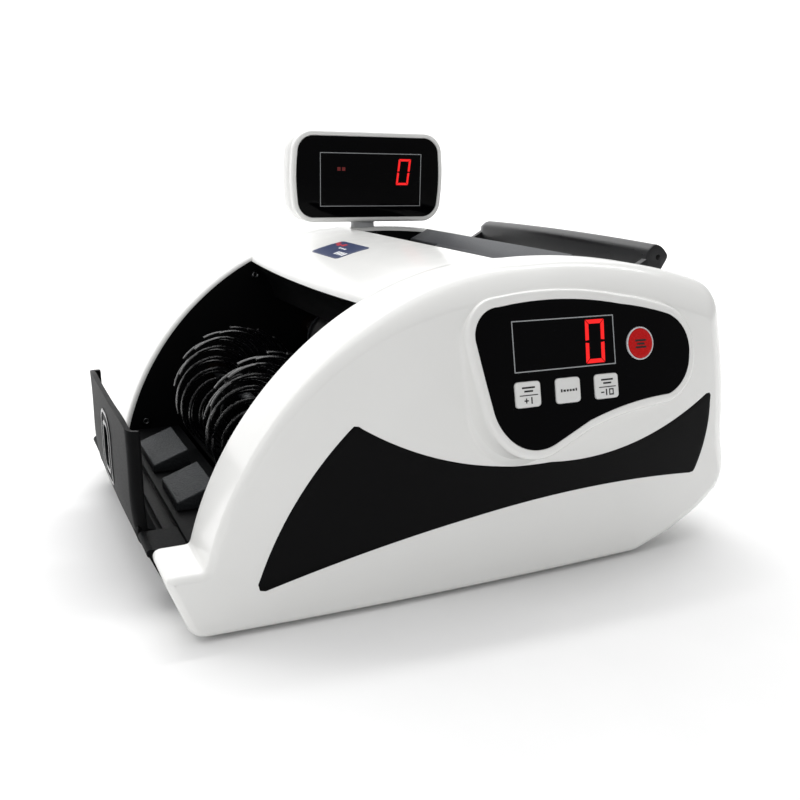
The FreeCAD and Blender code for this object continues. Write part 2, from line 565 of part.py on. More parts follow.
def finger_wheel(name, near):
    """A rubber wheel: a hub with swept-back curved fingers, each the gap between two shifted arcs."""
    hub, tip, wide = size("wheel_hub"), size("wheel_radius"), size("wheel_width")
    count, thick, sweep = int(size("fin_count")), 1.6, 62.0
    fingers = Part.makeCylinder(hub, wide, Vector(STACK[0], near, STACK[1]), Vector(0, 1, 0))
    for n in range(count):
        start, halfway = 360.0 / count * n, (hub + tip) / 2
        middle, end = start + sweep * 0.36, start + sweep
        lead = [around(STACK, hub - 1, start), around(STACK, halfway, middle), around(STACK, tip, end)]
        trail = [around(STACK, tip, end + math.degrees(thick * 0.8 / tip)),
                 around(STACK, halfway, middle + math.degrees(thick * 1.1 / halfway)),
                 around(STACK, hub - 1, start + math.degrees(thick * 1.6 / hub))]
        points = [Vector(x, near, z) for x, z in lead + trail]
        wire = Part.Wire([Part.Arc(*points[:3]).toShape(), Part.LineSegment(points[2], points[3]).toShape(),
                          Part.Arc(*points[3:]).toShape(), Part.LineSegment(points[5], points[0]).toShape()])
        fingers = fingers.fuse(Part.Face(wire).extrude(Vector(0, wide, 0)))
    bore_start = Vector(STACK[0], near - 1, STACK[1])
    bore = Part.makeCylinder(size("thin_shaft"), wide + 2, bore_start, Vector(0, 1, 0))
    return from_shape(name, fingers.removeSplitter().cut(bore))


wheels = [finger_wheel("wheel_near", 80.0), finger_wheel("wheel_far", 151.0)]
finish(group("stacker_wheels_group", *wheels), "stacker_wheels")

# ---------------------------------------------------------------- gears, pulleys and belts
GEAR_NEAR, GEAR_WIDE = 14.0, 8.0


def gear(name, shaft, teeth, turn):
    """A spur gear with straight-sided teeth a little thinner than the gaps they run in."""
    (x, z), radius = SHAFTS[shaft]
    centre, pitch = (size(x), size(z)), size("gear_module") * teeth / 2
    root, tip, step = pitch - 1.2 * size("gear_module"), pitch + 0.82 * size("gear_module"), 360.0 / teeth
    corners = []
    for n in range(teeth):
        middle = turn + n * step
        for reach, half in ((root, 0.31), (pitch, 0.215), (tip, 0.10)):
            corners.append((reach, middle - half * step))
        for reach, half in ((tip, 0.10), (pitch, 0.215), (root, 0.31)):
            corners.append((reach, middle + half * step))
    points = [Vector(around(centre, r, a)[0], GEAR_NEAR, around(centre, r, a)[1]) for r, a in corners]
    disc = Part.Face(Part.makePolygon(points + points[:1])).extrude(Vector(0, GEAR_WIDE, 0))
    bore_start = Vector(centre[0], GEAR_NEAR - 1, centre[1])
    bore = Part.makeCylinder(size(radius), GEAR_WIDE + 2, bore_start, Vector(0, 1, 0))
    return from_shape(name, disc.cut(bore))


line_angle = math.degrees(math.atan2(size("feed_z") - size("drum_z"), size("feed_x") - size("drum_x")))
DRUM_TEETH, FEED_TEETH = int(size("drum_teeth")), int(size("feed_teeth"))
finish(gear("drum_teeth", "drum", DRUM_TEETH, line_angle), "drum_gear")
feed_teeth = gear("feed_teeth", "feed", FEED_TEETH, line_angle + 180.0 + 180.0 / FEED_TEETH)

BELT_WALL, BELT_GAP, FLANGE = 1.4, 0.15, 1.2


def pulley(name, centre, radius, bore, near, wide):
    """A flat pulley with a flange on its inner side, bored for its shaft."""
    rim = radius + 2
    profile = [(bore, 0.0), (rim, 0.0), (rim, FLANGE), (radius, FLANGE), (radius, wide), (bore, wide)]
    return turned(name, profile, (centre[0], near, centre[1]))


def belt(label, first, first_radius, second, second_radius, near, wide):
    """A belt around two pulleys: the loop between two offsets of the open-belt outline."""
    (x1, z1), (x2, z2) = first, second
    span, aim = math.hypot(x2 - x1, z2 - z1), math.degrees(math.atan2(z2 - z1, x2 - x1))
    lean = math.degrees(math.acos((first_radius - second_radius) / span))

    def loop(grow):
        a, b = first_radius + grow, second_radius + grow
        start, across = around(first, a, aim + lean), around(second, b, aim + lean)
        back, home = around(second, b, aim - lean), around(first, a, aim - lean)
        corners = [Vector(x, near, z) for x, z in (
            start, across, around(second, b, aim), back, home, around(first, a, aim + 180), start)]
        edges = [Part.LineSegment(*corners[0:2]).toShape(), Part.Arc(*corners[1:4]).toShape(),
                 Part.LineSegment(*corners[3:5]).toShape(), Part.Arc(*corners[4:7]).toShape()]
        return Part.Face(Part.Wire(edges)).extrude(Vector(0, wide, 0))

    return finish(from_shape(label + "_loop", loop(BELT_GAP + BELT_WALL).cut(loop(BELT_GAP))), label)


DRUM, FEED = (size("drum_x"), size("drum_z")), (size("feed_x"), size("feed_z"))
PICK, MOTOR = (size("pick_x"), size("pick_z")), (size("motor_x"), size("motor_z"))
DRIVE_Y, STACK_Y, PICK_Y, PULLEY_WIDE = 215.0, 225.0, 23.0, 7.0
DRUM_DRIVE, MOTOR_DRIVE, DRUM_STACK, STACK_DRIVE, PICK_DRIVE = 16.0, 8.0, 9.0, 18.0, 8.0
doc.recompute()
PULLEYS = {
    "drum_drive": (("drum_x", "drum_z"), DRUM_DRIVE, size("thick_shaft"), DRIVE_Y),
    "drum_stack": (("drum_x", "drum_z"), DRUM_STACK, size("thick_shaft"), STACK_Y),
    "stacker_pulley": (("stack_x", "stack_z"), STACK_DRIVE, size("thin_shaft"), STACK_Y),
    "feed_drive": (("feed_x", "feed_z"), PICK_DRIVE, size("thin_shaft"), PICK_Y),
    "pickup_pulley": (("pick_x", "pick_z"), PICK_DRIVE, size("thin_shaft"), PICK_Y),
    "motor_pulley": (("motor_x", "motor_z"), MOTOR_DRIVE, 2.0, DRIVE_Y),
}
made = {label: pulley(label + "_turned", centre, radius, bore, near, PULLEY_WIDE)
        for label, (centre, radius, bore, near) in PULLEYS.items()}
finish(group("drum_pulleys_group", made["drum_drive"], made["drum_stack"]), "drum_pulleys")
finish(group("feed_gear_group", feed_teeth, made["feed_drive"]), "feed_gear")
for label in ("stacker_pulley", "pickup_pulley", "motor_pulley"):
    finish(group(label + "_group", made[label]), label)
BELT_WIDE = PULLEY_WIDE - FLANGE - 0.8
belt("drive_belt", DRUM, DRUM_DRIVE, MOTOR, MOTOR_DRIVE, DRIVE_Y + FLANGE + 0.4, BELT_WIDE)
belt("stacker_belt", DRUM, DRUM_STACK, STACK, STACK_DRIVE, STACK_Y + FLANGE + 0.4, BELT_WIDE)
belt("pickup_belt", FEED, PICK_DRIVE, PICK, PICK_DRIVE, PICK_Y + FLANGE + 0.4, BELT_WIDE)

finish(rod("motor_shaft_rod", "2", ("motor_x - origin_x", "200 - origin_y", "motor_z"), "23"),
       "motor_shaft", placed=False)
motor_outer = fuse("motor_outer", rod("motor_body", "19", ("motor_x", "148", "motor_z"), "bay_far - 148"),
                   rod("motor_rear", "8", ("motor_x", "142", "motor_z"), "8"))
motor_bore = rod("motor_bore", "2.1", ("motor_x", "199.9", "motor_z"), "12")
finish(cut("motor_can", motor_outer, motor_bore), "drive_motor")

# ---------------------------------------------------------------- electronics and sensing
board_bits = [block("main_board_plate", ("60", "160"), ("60", "183"), ("11", "12.6"))]
board_bits += [rod(f"standoff_{n}", "3", (x, y, "floor_gap + wall"), "11 - floor_gap - wall", "Z")
               for n, (x, y) in enumerate([(65, 65), (65, 178), (155, 65), (155, 178)])]
CHIPS = [(108, 100, 18, 18, 2.4), (130, 76, 12, 30, 9.0), (132, 130, 16, 16, 12.0), (106, 140, 10, 24, 3.0)]
board_bits += [block(f"chip_{n}", (x, x + w), (y, y + d), ("12.6", 12.6 + t))
               for n, (x, y, w, d, t) in enumerate(CHIPS)]
finish(fuse("main_board_fuse", *board_bits), "main_board")
transformer_core = block("transformer_core", ("172", "204"), ("50", "100"), ("floor_gap + wall", "40"))
transformer_coil = block("transformer_coil", ("176", "200"), ("56", "94"), ("40", "48"))
finish(fuse("transformer_fuse", transformer_core, transformer_coil), "transformer")
finish(group("sensor_bar_group", block("sensor_housing", ("126", "140"), BAY, ("128", "137")),
             block("magnetic_head", ("129", "138"), ("108", "135"), ("122", "128"))), "sensor_bar")
uv_tube = rod("uv_lamp_tube", "3.5", ("122.5 - origin_x", "50 - origin_y", "132.5"), "143")
finish(uv_tube, "uv_lamp", placed=False)
slot_places = [around(DRUM, 11.0, n * 30.0) for n in range(12)]
encoder_slots = [rod(f"encoder_slot_{n}", "1.3", (x, "177", z), "4") for n, (x, z) in enumerate(slot_places)]
encoder_plate = rod("encoder_plate", "14", ("drum_x", "178", "drum_z"), "1.2")
encoder_bore = rod("encoder_bore", "thick_shaft", ("drum_x", "177", "drum_z"), "4")
finish(cut("encoder_cut", encoder_plate, encoder_bore, *encoder_slots), "encoder_disc")

# ---------------------------------------------------------------- handle
bar = plate("handle_bar", (243.0, 142.8), [
    (243.6, 153.4), (247.4, 156.3), (251.6, 154.8), (255.8, 150.6), (251.4, 143.4), (243.0, 142.8)],
    "bay_near + 0.8", "arm_far + 2.4")
H_X, H_Z = size("handle_x"), size("handle_z")
arms = [plate(f"arm_{side}", (H_X + 3.4, H_Z - 5.0), [
    (249.0, 143.6), (247.0, 152.0), (H_X - 3.4, H_Z + 5.0),
    (around((H_X, H_Z), 6.05, 214), (H_X + 3.4, H_Z - 5.0))], f"arm_{side}", f"arm_{side} + arm_wall")
    for side in ("near", "far")]
handle_bores = [rod(f"handle_bore_{side}", "3 + running_gap", ("handle_x", f"arm_{side} - 2", "handle_z"),
                    "8") for side in ("near", "far")]
finish(cut("carry_handle_cut", fuse("handle_outer", bar, *arms), *handle_bores), "carry_handle")
handle_pins = [rod("handle_pin_near", "3", ("handle_x", "bay_near - liner_wall", "handle_z"),
                   "liner_wall + arm_wall + 1.4"),
               rod("handle_pin_far", "3", ("handle_x", "arm_far - 0.4", "handle_z"),
                   "bay_far + liner_wall - arm_far + 0.4")]
finish(group("hinge_pins_group", tray_pin, *handle_pins), "hinge_pins")

# ---------------------------------------------------------------- customer display on its swivel stem
SPIGOT, SPIGOT_TOP = 4.0, 166.0
column = rod("stem_column", "stem_radius", ("stem_x", "stem_y", "148"), "head_bottom - 148 - 0.3", "Z")
spigot = rod("stem_spigot", SPIGOT, ("stem_x", "stem_y", "144"), SPIGOT_TOP - 144, "Z")
column_above = cut("column_above", column, casing("stem_casing", side_view, plan_view))
finish(fuse("display_stem_fuse", column_above, spigot), "display_stem")

HEAD_X, HEAD_Z = size("stem_x") + 0.5, size("head_bottom") + size("head_height") / 2
HEAD_W, HEAD_H, HEAD_R = size("head_width") / 2, size("head_height") / 2, size("head_corner")
HEAD_BOW = 1.6  # the short sides bulge outwards a little


def head_outline(name, inset):
    """The display's front view: a rounded rectangle with slightly bowed short sides."""
    w, t, r = HEAD_W - HEAD_BOW - inset, HEAD_H - inset, HEAD_R - inset
    k = r * (1 - math.sqrt(0.5))
    x, z = HEAD_X, HEAD_Z
    return outline(name, (x - w + r, z - t), [
        (x + w - r, z - t), ((x + w - k, z - t + k), (x + w, z - t + r)),
        ((x + w + HEAD_BOW, z), (x + w, z + t - r)), ((x + w - k, z + t - k), (x + w - r, z + t)),
        (x - w + r, z + t), ((x - w + k, z + t - k), (x - w, z + t - r)),
        ((x - w - HEAD_BOW, z), (x - w, z - t + r)), ((x - w + k, z - t + k), (x - w + r, z - t))])


BEZEL_DEPTH, LENS_WALL, BOARD_AT = 5.0, 2.0, 8.0
head_edge = head_outline("head_edge", 0.0)
lens_edge = head_outline("lens_edge", size("lens_border"))
shelf_edge = head_outline("shelf_edge", size("lens_border") + 2.0)
cavity_edge = head_outline("cavity_edge", size("head_wall"))
finish(cut("display_bezel_cut", swept("bezel_outer", head_edge, "head_front", f"head_front + {BEZEL_DEPTH}"),
           swept("lens_seat", lens_edge, "head_front - 1", f"head_front + {LENS_WALL}"),
           swept("bezel_window", shelf_edge, "head_front - 1", "head_front + 10")), "display_bezel")
finish(swept("display_lens_plate", lens_edge, "head_front", f"head_front + {LENS_WALL}"), "display_lens")
socket_top = SPIGOT_TOP + 1.5
socket = rod("socket", "5.8", ("stem_x", "stem_y", "head_bottom"), f"{socket_top} - head_bottom", "Z")
back_outer = swept("back_outer", head_edge, f"head_front + {BEZEL_DEPTH}", "head_front + head_depth")
back_cavity = swept("back_cavity", cavity_edge, f"head_front + {BEZEL_DEPTH - 1}",
                    "head_front + head_depth - head_wall")
socket_bore = rod("socket_bore", f"{SPIGOT} + running_gap", ("stem_x", "stem_y", "head_bottom - 1"),
                  f"{SPIGOT_TOP} + 1.3 - head_bottom", "Z")
back_hollow = cut("back_hollow", back_cavity, socket)
finish(cut("display_back_cut", back_outer, back_hollow, socket_bore), "display_back")
board_span = (f"head_front + {BOARD_AT}", f"head_front + {BOARD_AT} + 1.6")
digit_span = (f"head_front + {LENS_WALL}", f"head_front + {BOARD_AT}")
finish(fuse("display_board_fuse",
            block("display_board_plate", (HEAD_X - 36, HEAD_X + 36), board_span, (HEAD_Z - 17, HEAD_Z + 18)),
            block("display_digits", (HEAD_X - 28, HEAD_X + 28), digit_span, (HEAD_Z - 10, HEAD_Z + 12))),
       "display_board")

# ---------------------------------------------------------------- power entry
INLET_BACK, INLET_FRONT = "262", "288.2"
inlet_body = cut("inlet_body", block("inlet_outer", (INLET_BACK, INLET_FRONT),
                                     ("inlet_near", "inlet_near + inlet_width"),
                                     ("inlet_bottom", "inlet_bottom + inlet_height")),
                 block("inlet_socket", ("271", "290"),
                       ("inlet_near + 3.5", "inlet_near + inlet_width - 3.5"),
                       ("inlet_bottom + 3.5", "inlet_bottom + inlet_height - 3.5")))
INLET_MIDDLE = "inlet_near + inlet_width / 2"
prongs = [block(f"prong_{n}", ("270", "283"), (f"{INLET_MIDDLE} + {y} - 2", f"{INLET_MIDDLE} + {y} + 2"),
                (f"inlet_bottom + 7 + {z}", f"inlet_bottom + 9 + {z}"))
          for n, (y, z) in enumerate([(-7, 0), (0, 1.5), (7, 0)])]
finish(fuse("power_inlet_fuse", inlet_body, *prongs), "power_inlet")
ROCKER_LOW, ROCKER_HIGH = "inlet_bottom + 4", "inlet_bottom + 4 + rocker_height"
rocker_frame = block("rocker_frame_outer", ("268", "287.6"),
                     ("rocker_near - 2", "rocker_near + rocker_width + 2"),
                     ("inlet_bottom + 2", "inlet_bottom + rocker_height + 6"))
rocker_hole = block("rocker_frame_hole", ("272", "290"),
                    ("rocker_near - rocker_gap", "rocker_near + rocker_width + rocker_gap"),
                    (f"{ROCKER_LOW} - 0.3", f"{ROCKER_HIGH} + 0.3"))
finish(cut("rocker_frame_cut", rocker_frame, rocker_hole), "rocker_frame")
middle = size("rocker_near") + size("rocker_width") / 2
rocker_plan = outline("rocker_plan", (276.5, middle - 5.0), [
    (286.6, middle - 9.6), (287.4, middle - 8.6), ((285.6, middle), (287.4, middle + 8.6)),
    (286.6, middle + 9.6), (276.5, middle + 5.0), ((275.6, middle), (276.5, middle - 5.0))], plane="XY")
finish(swept("power_rocker_solid", rocker_plan, ROCKER_LOW, ROCKER_HIGH, UP), "power_rocker")

# ---------------------------------------------------------------- small fixings and the blank label
screws = [rod(f"pan_screw_{n}", "2.5", (x, y, "floor_gap - 1.2"), "1.2", "Z")
          for n, (x, y) in enumerate([(12, 121.5), (60, 42), (60, 201), (200, 121.5)])]
for n, (x, z) in enumerate([(82.6, 125.4), (11, 37.5)]):
    screws.append(rod(f"screw_near_{n}", "2.6", (x, "bay_near", z), "0.9"))
    screws.append(rod(f"screw_far_{n}", "2.6", (x, "bay_far - 0.9", z), "0.9"))
screws.append(rod("screw_floor", "2.4", (8, 115.5, "floor_top"), "1.2", "Z"))
finish(group("case_screws_group", *screws), "case_screws")
LABEL_WALL = 0.25
LABEL_NEAR, LABEL_FAR = 113.7, 153.9
label_outer = swept("label_outer", offset("label_edge", side_view, LABEL_WALL), LABEL_NEAR, LABEL_FAR)
label_skin = cut("label_skin", label_outer, swept("label_seat", side_view, LABEL_NEAR - 1, LABEL_FAR + 1))
label_span = block("label_span", ("99.5", "119.5"), (LABEL_NEAR, LABEL_FAR), ("120", "160"))
finish(common("hood_label_common", label_skin, label_span), "hood_label")


# ---------------------------------------------------------------- checks and export
doc.recompute()
failed = [o.Name for o in doc.Objects if "Invalid" in o.State or "Error" in o.State]
if failed:
    raise RuntimeError(f"these objects did not build: {failed}")
os.makedirs("parts", exist_ok=True)
labels = set()
for node in NODES:
    shape = node.Shape
    if shape.isNull() or not shape.isValid() or not shape.Solids:
        raise RuntimeError(f"{node.Label} has no valid solid")
    if node.Label in labels:
        raise RuntimeError(f"{node.Label} is made twice")
    labels.add(node.Label)
    shape.exportStep(f"parts/{node.Label}.step")
print(f"{len(NODES)} sub-parts written")
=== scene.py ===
import math

import bmesh
import bpy
import numpy as np
from mathutils import Matrix, Vector


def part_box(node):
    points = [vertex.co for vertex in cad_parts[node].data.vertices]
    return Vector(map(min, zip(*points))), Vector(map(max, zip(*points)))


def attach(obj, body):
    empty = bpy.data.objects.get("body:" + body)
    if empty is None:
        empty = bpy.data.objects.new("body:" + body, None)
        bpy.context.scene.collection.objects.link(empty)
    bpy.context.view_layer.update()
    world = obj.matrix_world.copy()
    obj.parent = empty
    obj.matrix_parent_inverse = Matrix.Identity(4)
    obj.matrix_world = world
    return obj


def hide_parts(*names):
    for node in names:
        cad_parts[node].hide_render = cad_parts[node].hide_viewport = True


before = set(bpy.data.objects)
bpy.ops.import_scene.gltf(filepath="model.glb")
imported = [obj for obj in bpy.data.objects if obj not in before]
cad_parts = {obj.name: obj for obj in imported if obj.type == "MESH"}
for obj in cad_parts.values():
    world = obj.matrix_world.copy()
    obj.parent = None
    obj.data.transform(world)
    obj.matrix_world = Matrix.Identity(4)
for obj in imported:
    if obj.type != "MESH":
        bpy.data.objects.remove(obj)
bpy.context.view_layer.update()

bl_info = {
    "name": "Banknote counter",
    "version": (1, 0, 0),
    "blender": (4, 5, 0),
    "location": "View3D > Sidebar > Counter",
    "description": "Builds the visible surfaces of a desktop banknote counter around its frame",
    "category": "Object",
}

# ------------------------------------------------------------------ places, in millimetres
# Machine coordinates: X from the stacker to the handle end, Y from the key panel's side to the
# far side, Z up. They are the frame's own axes moved by ORIGIN.
MM = 1000.0
BAY_NEAR, BAY_FAR, HOOD_START, DEPTH = 33.0, 210.0, 80.0, 243.0
hood_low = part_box("top_hood")[0]
ORIGIN = np.array([HOOD_START - hood_low.x * MM, BAY_NEAR - hood_low.y * MM, 0.0])
BAY_MIDDLE = (BAY_NEAR + BAY_FAR) / 2
WALL, LIP = 2.5, 2.2
RIM_INSIDE, RIM_OUTSIDE = 24.0, 27.0  # where the rim's two skins begin to run straight along Y
BULGE, BULGE_MIDDLE, BULGE_HALF = 4.3, 124.25, 144.25

SIDE_START = (-2.5, 2.0)
SIDE_STEPS = [
    ((-7.4, 3.4), (-10.7, 7.7)), (-18.5, 27.6), ((-18.3, 30.5), (-15.5, 31.9)), (-2.4, 31.9),
    ((16.0, 76.5), (50.6, 117.0)), ((95.0, 143.3), (150.0, 153.0)), ((206.0, 151.6), (258.0, 141.2)),
    ((269.5, 134.5), (275.5, 122.0)), ((284.6, 84.0), (288.4, 44.0)), ((286.6, 33.5), (279.0, 24.2)),
    ((262.5, 12.8), (243.0, 5.8)), (222.0, 2.0), SIDE_START,
]
SIDE_HEART = np.array([120.0, 30.0])
SWOOSH_START = (22.5, 19.8)
SWOOSH_STEPS = [
    ((19.2, 20.6), (19.2, 24.0)), ((37.0, 60.0), (60.6, 88.0)), ((61.8, 88.9), (64.0, 88.0)),
    ((112.0, 66.2), (163.0, 59.8)), ((214.0, 63.2), (260.4, 83.6)), ((262.9, 83.4), (263.4, 80.6)),
    ((263.2, 61.0), (257.6, 42.3)), ((256.4, 41.0), (254.6, 40.8)), ((187.0, 43.4), (120.0, 38.2)),
    ((70.0, 30.4), (22.5, 19.8)),
]
SWOOSH_CORNERS = [(19.6, 20.6), (61.6, 88.6), (262.4, 83.2), (256.6, 41.0)]
PANEL_START = (-6.0, 6.6)
PANEL_STEPS = [
    ((27.0, 8.6), (60.0, 4.8)), ((74.0, 2.4), (87.2, -1.0)), ((97.2, -8.6), (99.8, -22.0)),
    ((96.4, -31.8), (86.0, -39.4)), ((60.0, -42.2), (38.7, -47.5)), ((29.0, -51.8), (19.0, -56.2)),
    ((7.4, -57.6), (-3.6, -52.4)), ((-9.6, -44.6), (-12.2, -36.6)), ((-15.4, -22.0), (-18.0, -9.0)),
    ((-15.6, 2.2), (-6.0, 6.6)),
]
PANEL_AT, PANEL_TILT = np.array([134.2, -7.63, 129.69]), math.radians(13.1)
PANEL_RIGHT = np.array([1.0, 0.0, 0.0])
PANEL_UP = np.array([0.0, math.sin(PANEL_TILT), math.cos(PANEL_TILT)])
PANEL_OUT = np.array([0.0, -math.cos(PANEL_TILT), math.sin(PANEL_TILT)])


# ------------------------------------------------------------------ curves
def arc(start, through, end, count):
    """Points on the circle through three points: its centre is where the chords' bisectors meet."""
    (ax, az), (bx, bz), (cx, cz) = start, through, end
    d = 2 * (ax * (bz - cz) + bx * (cz - az) + cx * (az - bz))
    a2, b2, c2 = ax * ax + az * az, bx * bx + bz * bz, cx * cx + cz * cz
    ox = (a2 * (bz - cz) + b2 * (cz - az) + c2 * (az - bz)) / d
    oz = (a2 * (cx - bx) + b2 * (ax - cx) + c2 * (bx - ax)) / d
    first, mid, last = (math.atan2(z - oz, x - ox) for x, z in (start, through, end))
    turn, part = (last - first) % math.tau, (mid - first) % math.tau
    if part > turn:
        turn -= math.tau
    angles = first + turn * np.linspace(0, 1, count, endpoint=False)
    radius = math.hypot(ax - ox, az - oz)
    return np.stack([ox + radius * np.cos(angles), oz + radius * np.sin(angles)], 1)


def outline(start, steps, count, soften=0.0):
    """A closed outline of lines and arcs, resampled evenly and softened by a moving average (mm)."""
    here, runs = start, []
    for step in steps:
        if isinstance(step[0], tuple):
            runs.append(arc(here, step[0], step[1], 60))
            here = step[1]
        else:
            runs.append(np.linspace(here, step, 60, endpoint=False))
            here = step
    points = resample(np.concatenate(runs), count)
    if soften > 0:
        length = np.linalg.norm(np.roll(points, -1, 0) - points, axis=1).sum()
        reach = int(3 * soften / length * count) + 1
        offsets = np.arange(-reach, reach + 1)
        weights = np.exp(-0.5 * (offsets * length / count / soften) ** 2)
        points = sum(w * np.roll(points, -k, 0) for k, w in zip(offsets, weights / weights.sum()))
    return points


def resample(points, count):
    """The same closed line with evenly spaced points."""
    loop = np.vstack([points, points[:1]])
    along = np.concatenate([[0], np.cumsum(np.linalg.norm(np.diff(loop, axis=0), axis=1))])
    wanted = np.linspace(0, along[-1], count, endpoint=False)
    return np.stack([np.interp(wanted, along, loop[:, k]) for k in (0, 1)], 1)


def inward(loop):
    """Unit normals pointing into a closed outline, from the line between each point's neighbours."""
    run = np.roll(loop, -1, 0) - np.roll(loop, 1, 0)
    run /= np.linalg.norm(run, axis=1, keepdims=True)
    area = (loop[:, 0] * np.roll(loop[:, 1], -1) - np.roll(loop[:, 0], -1) * loop[:, 1]).sum()
    return np.stack([-run[:, 1], run[:, 0]], 1) * np.sign(area)


def smoothed(values, reach):
    """A periodic moving average over 2 * reach + 1 samples."""
    return sum(np.roll(values, k) for k in range(-reach, reach + 1)) / (2 * reach + 1)


# ------------------------------------------------------------------ meshes
MERGE = 2e-6  # metres
SHARP_ANGLE, BEVEL_ANGLE = math.radians(38.0), math.radians(30.0)


def build(name, points, faces, smooth=True):
    """A mesh object from machine coordinates in millimetres."""
    mesh = bpy.data.meshes.new(name)
    flat = (np.asarray(points, float).reshape(-1, 3) - ORIGIN) / MM
    mesh.from_pydata(flat.tolist(), [], [tuple(f) for f in np.asarray(faces).tolist()])
    work = bmesh.new()
    work.from_mesh(mesh)
    bmesh.ops.remove_doubles(work, verts=work.verts, dist=MERGE)
    bmesh.ops.dissolve_degenerate(work, dist=MERGE / 20, edges=work.edges)
    bmesh.ops.recalc_face_normals(work, faces=work.faces)
    for face in work.faces:
        face.smooth = smooth
    work.to_mesh(mesh)
    work.free()
    piece = bpy.data.objects.new(name, mesh)
    bpy.context.scene.collection.objects.link(piece)
    return piece


def grid_faces(rows, columns, wrap_rows=False, wrap_columns=True, start=0):
    """Quads between neighbouring rows and columns of a grid of points."""
    r = np.arange(rows if wrap_rows else rows - 1)
    c = np.arange(columns if wrap_columns else columns - 1)
    r, c = (a.ravel() for a in np.meshgrid(r, c, indexing="ij"))
    r2, c2 = (r + 1) % rows, (c + 1) % columns
    return start + np.stack([r * columns + c, r * columns + c2, r2 * columns + c2, r2 * columns + c], 1)


def grid(name, points, wrap_rows=False):
    """A surface from points laid out as rows by columns by 3, with each row a closed loop."""
    rows, columns = points.shape[:2]
    return build(name, points, grid_faces(rows, columns, wrap_rows))


def end_caps(rows, columns, start=0):
    """Quads that close the first and last rows of a grid whose rows run out on one skin and back on
    the other: each pairs a step on the way out with the step opposite it on the way back."""
    k = np.arange(columns // 2 - 1)
    return [np.stack([base + k, base + k + 1, base + columns - 2 - k, base + columns - 1 - k], 1)
            for base in (start, start + (rows - 1) * columns)]


def joined(name, shapes, wrap_rows=False, capped=False):
    """One mesh from several grids of points."""
    points, faces, start = [], [], 0
    for shape in shapes:
        rows, columns = shape.shape[:2]
        points.append(shape.reshape(-1, 3))
        faces.append(grid_faces(rows, columns, wrap_rows, start=start))
        if capped:
            faces += end_caps(rows, columns, start)
        start += rows * columns
    return build(name, np.concatenate(points), np.concatenate(faces))


def turned(profile, centre, axis, first, second, count):
    """Rows of a profile of (radius, height) turned about an axis: a point is the centre, plus the
    height along the axis, plus the radius times cos a of one direction across it and sin a of the
    other."""
    turn = np.linspace(0, math.tau, count, endpoint=False)[:, None]
    spokes = np.cos(turn) * np.array(first, float) + np.sin(turn) * np.array(second, float)
    return np.stack([np.array(centre) + r * spokes + h * np.array(axis, float) for r, h in profile])


def at_y(flat, y, rise=0.0):
    """The points of a side view (X and Z) put at a distance Y across the machine."""
    return np.stack([flat[:, 0], np.full(len(flat), y), flat[:, 1] + rise], 1)


def finish(piece, material, body="frame", replaces=()):
    """Gives a piece its material, its body and the nodes it stands for."""
    piece.data.materials.clear()
    piece.data.materials.append(MATERIALS[material])
    mark_sharp(piece.data)
    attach(piece, body)
    if replaces:
        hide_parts(*replaces)
    return piece


def mark_sharp(mesh):
    """Edges that turn by more than an angle are drawn crisp, and the rest smooth."""
    work = bmesh.new()
    work.from_mesh(mesh)
    for edge in work.edges:
        edge.smooth = len(edge.link_faces) == 2 and edge.calc_face_angle(0.0) < SHARP_ANGLE
    work.to_mesh(mesh)
    work.free()


def softened(node, share):
    """A copy of a frame part with its doubles merged and its hard edges rounded by a share of the
    set rounding."""
    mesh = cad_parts[node].data.copy()
    work = bmesh.new()
    work.from_mesh(mesh)
    bmesh.ops.remove_doubles(work, verts=work.verts, dist=MERGE)
    bmesh.ops.dissolve_limit(work, angle_limit=math.radians(0.5), verts=work.verts, edges=work.edges)
    for face in work.faces:
        face.smooth = True
    work.to_mesh(mesh)
    work.free()
    piece = bpy.data.objects.new(node + "_finish", mesh)
    bpy.context.scene.collection.objects.link(piece)
    bevel = piece.modifiers.new("edges", "BEVEL")
    bevel.width, bevel.segments = share * settings().edge, 3
    bevel.limit_method, bevel.angle_limit = "ANGLE", BEVEL_ANGLE
    bevel.use_clamp_overlap, bevel.miter_outer = True, "MITER_ARC"
    apply_modifiers(piece)
    return piece


def apply_modifiers(piece):
    """Fixes a piece's modifiers into its mesh."""
    graph = bpy.context.evaluated_depsgraph_get()
    mesh = bpy.data.meshes.new_from_object(piece.evaluated_get(graph))
    piece.modifiers.clear()
    piece.data = mesh


# ------------------------------------------------------------------ the housings' own surfaces
def face_y(x):
    """The near side face: a shallow parabola that bulges most at mid length."""
    return -BULGE * (1 - ((x - BULGE_MIDDLE) / BULGE_HALF) ** 2)


SIDE = outline(SIDE_START, SIDE_STEPS, 560, soften=1.2)
SIDE_IN = inward(SIDE)
ROOF = SIDE[(SIDE[:, 0] > 70) & (SIDE[:, 0] < 160) & (SIDE[:, 1] > 100)]
ROOF = ROOF[ROOF[:, 0].argsort()]


def roof_z(x):
    """The height of the roof line over a place along the machine."""
    return np.interp(x, ROOF[:, 0], ROOF[:, 1])


def rim_radius():
    """The rounding between rim and side face: wide at the handle end, tight at the toe and the foot."""
    x, z = SIDE[:, 0], SIDE[:, 1]
    radius = np.interp(x, [20.0, 35.0, 65.0, 112.0, 160.0, 265.0], [3.4, 4.2, 7.0, 12.5, 14.0, 18.0])
    radius[(x > 236) & (z < 40)] = 9.0
    radius[(z < 9) & (x < 240)] = 3.0
    radius[(x < 1) & (z < 36)] = 3.0
    return np.maximum(smoothed(radius, 12), 2.8)


RIM_RADIUS = rim_radius()


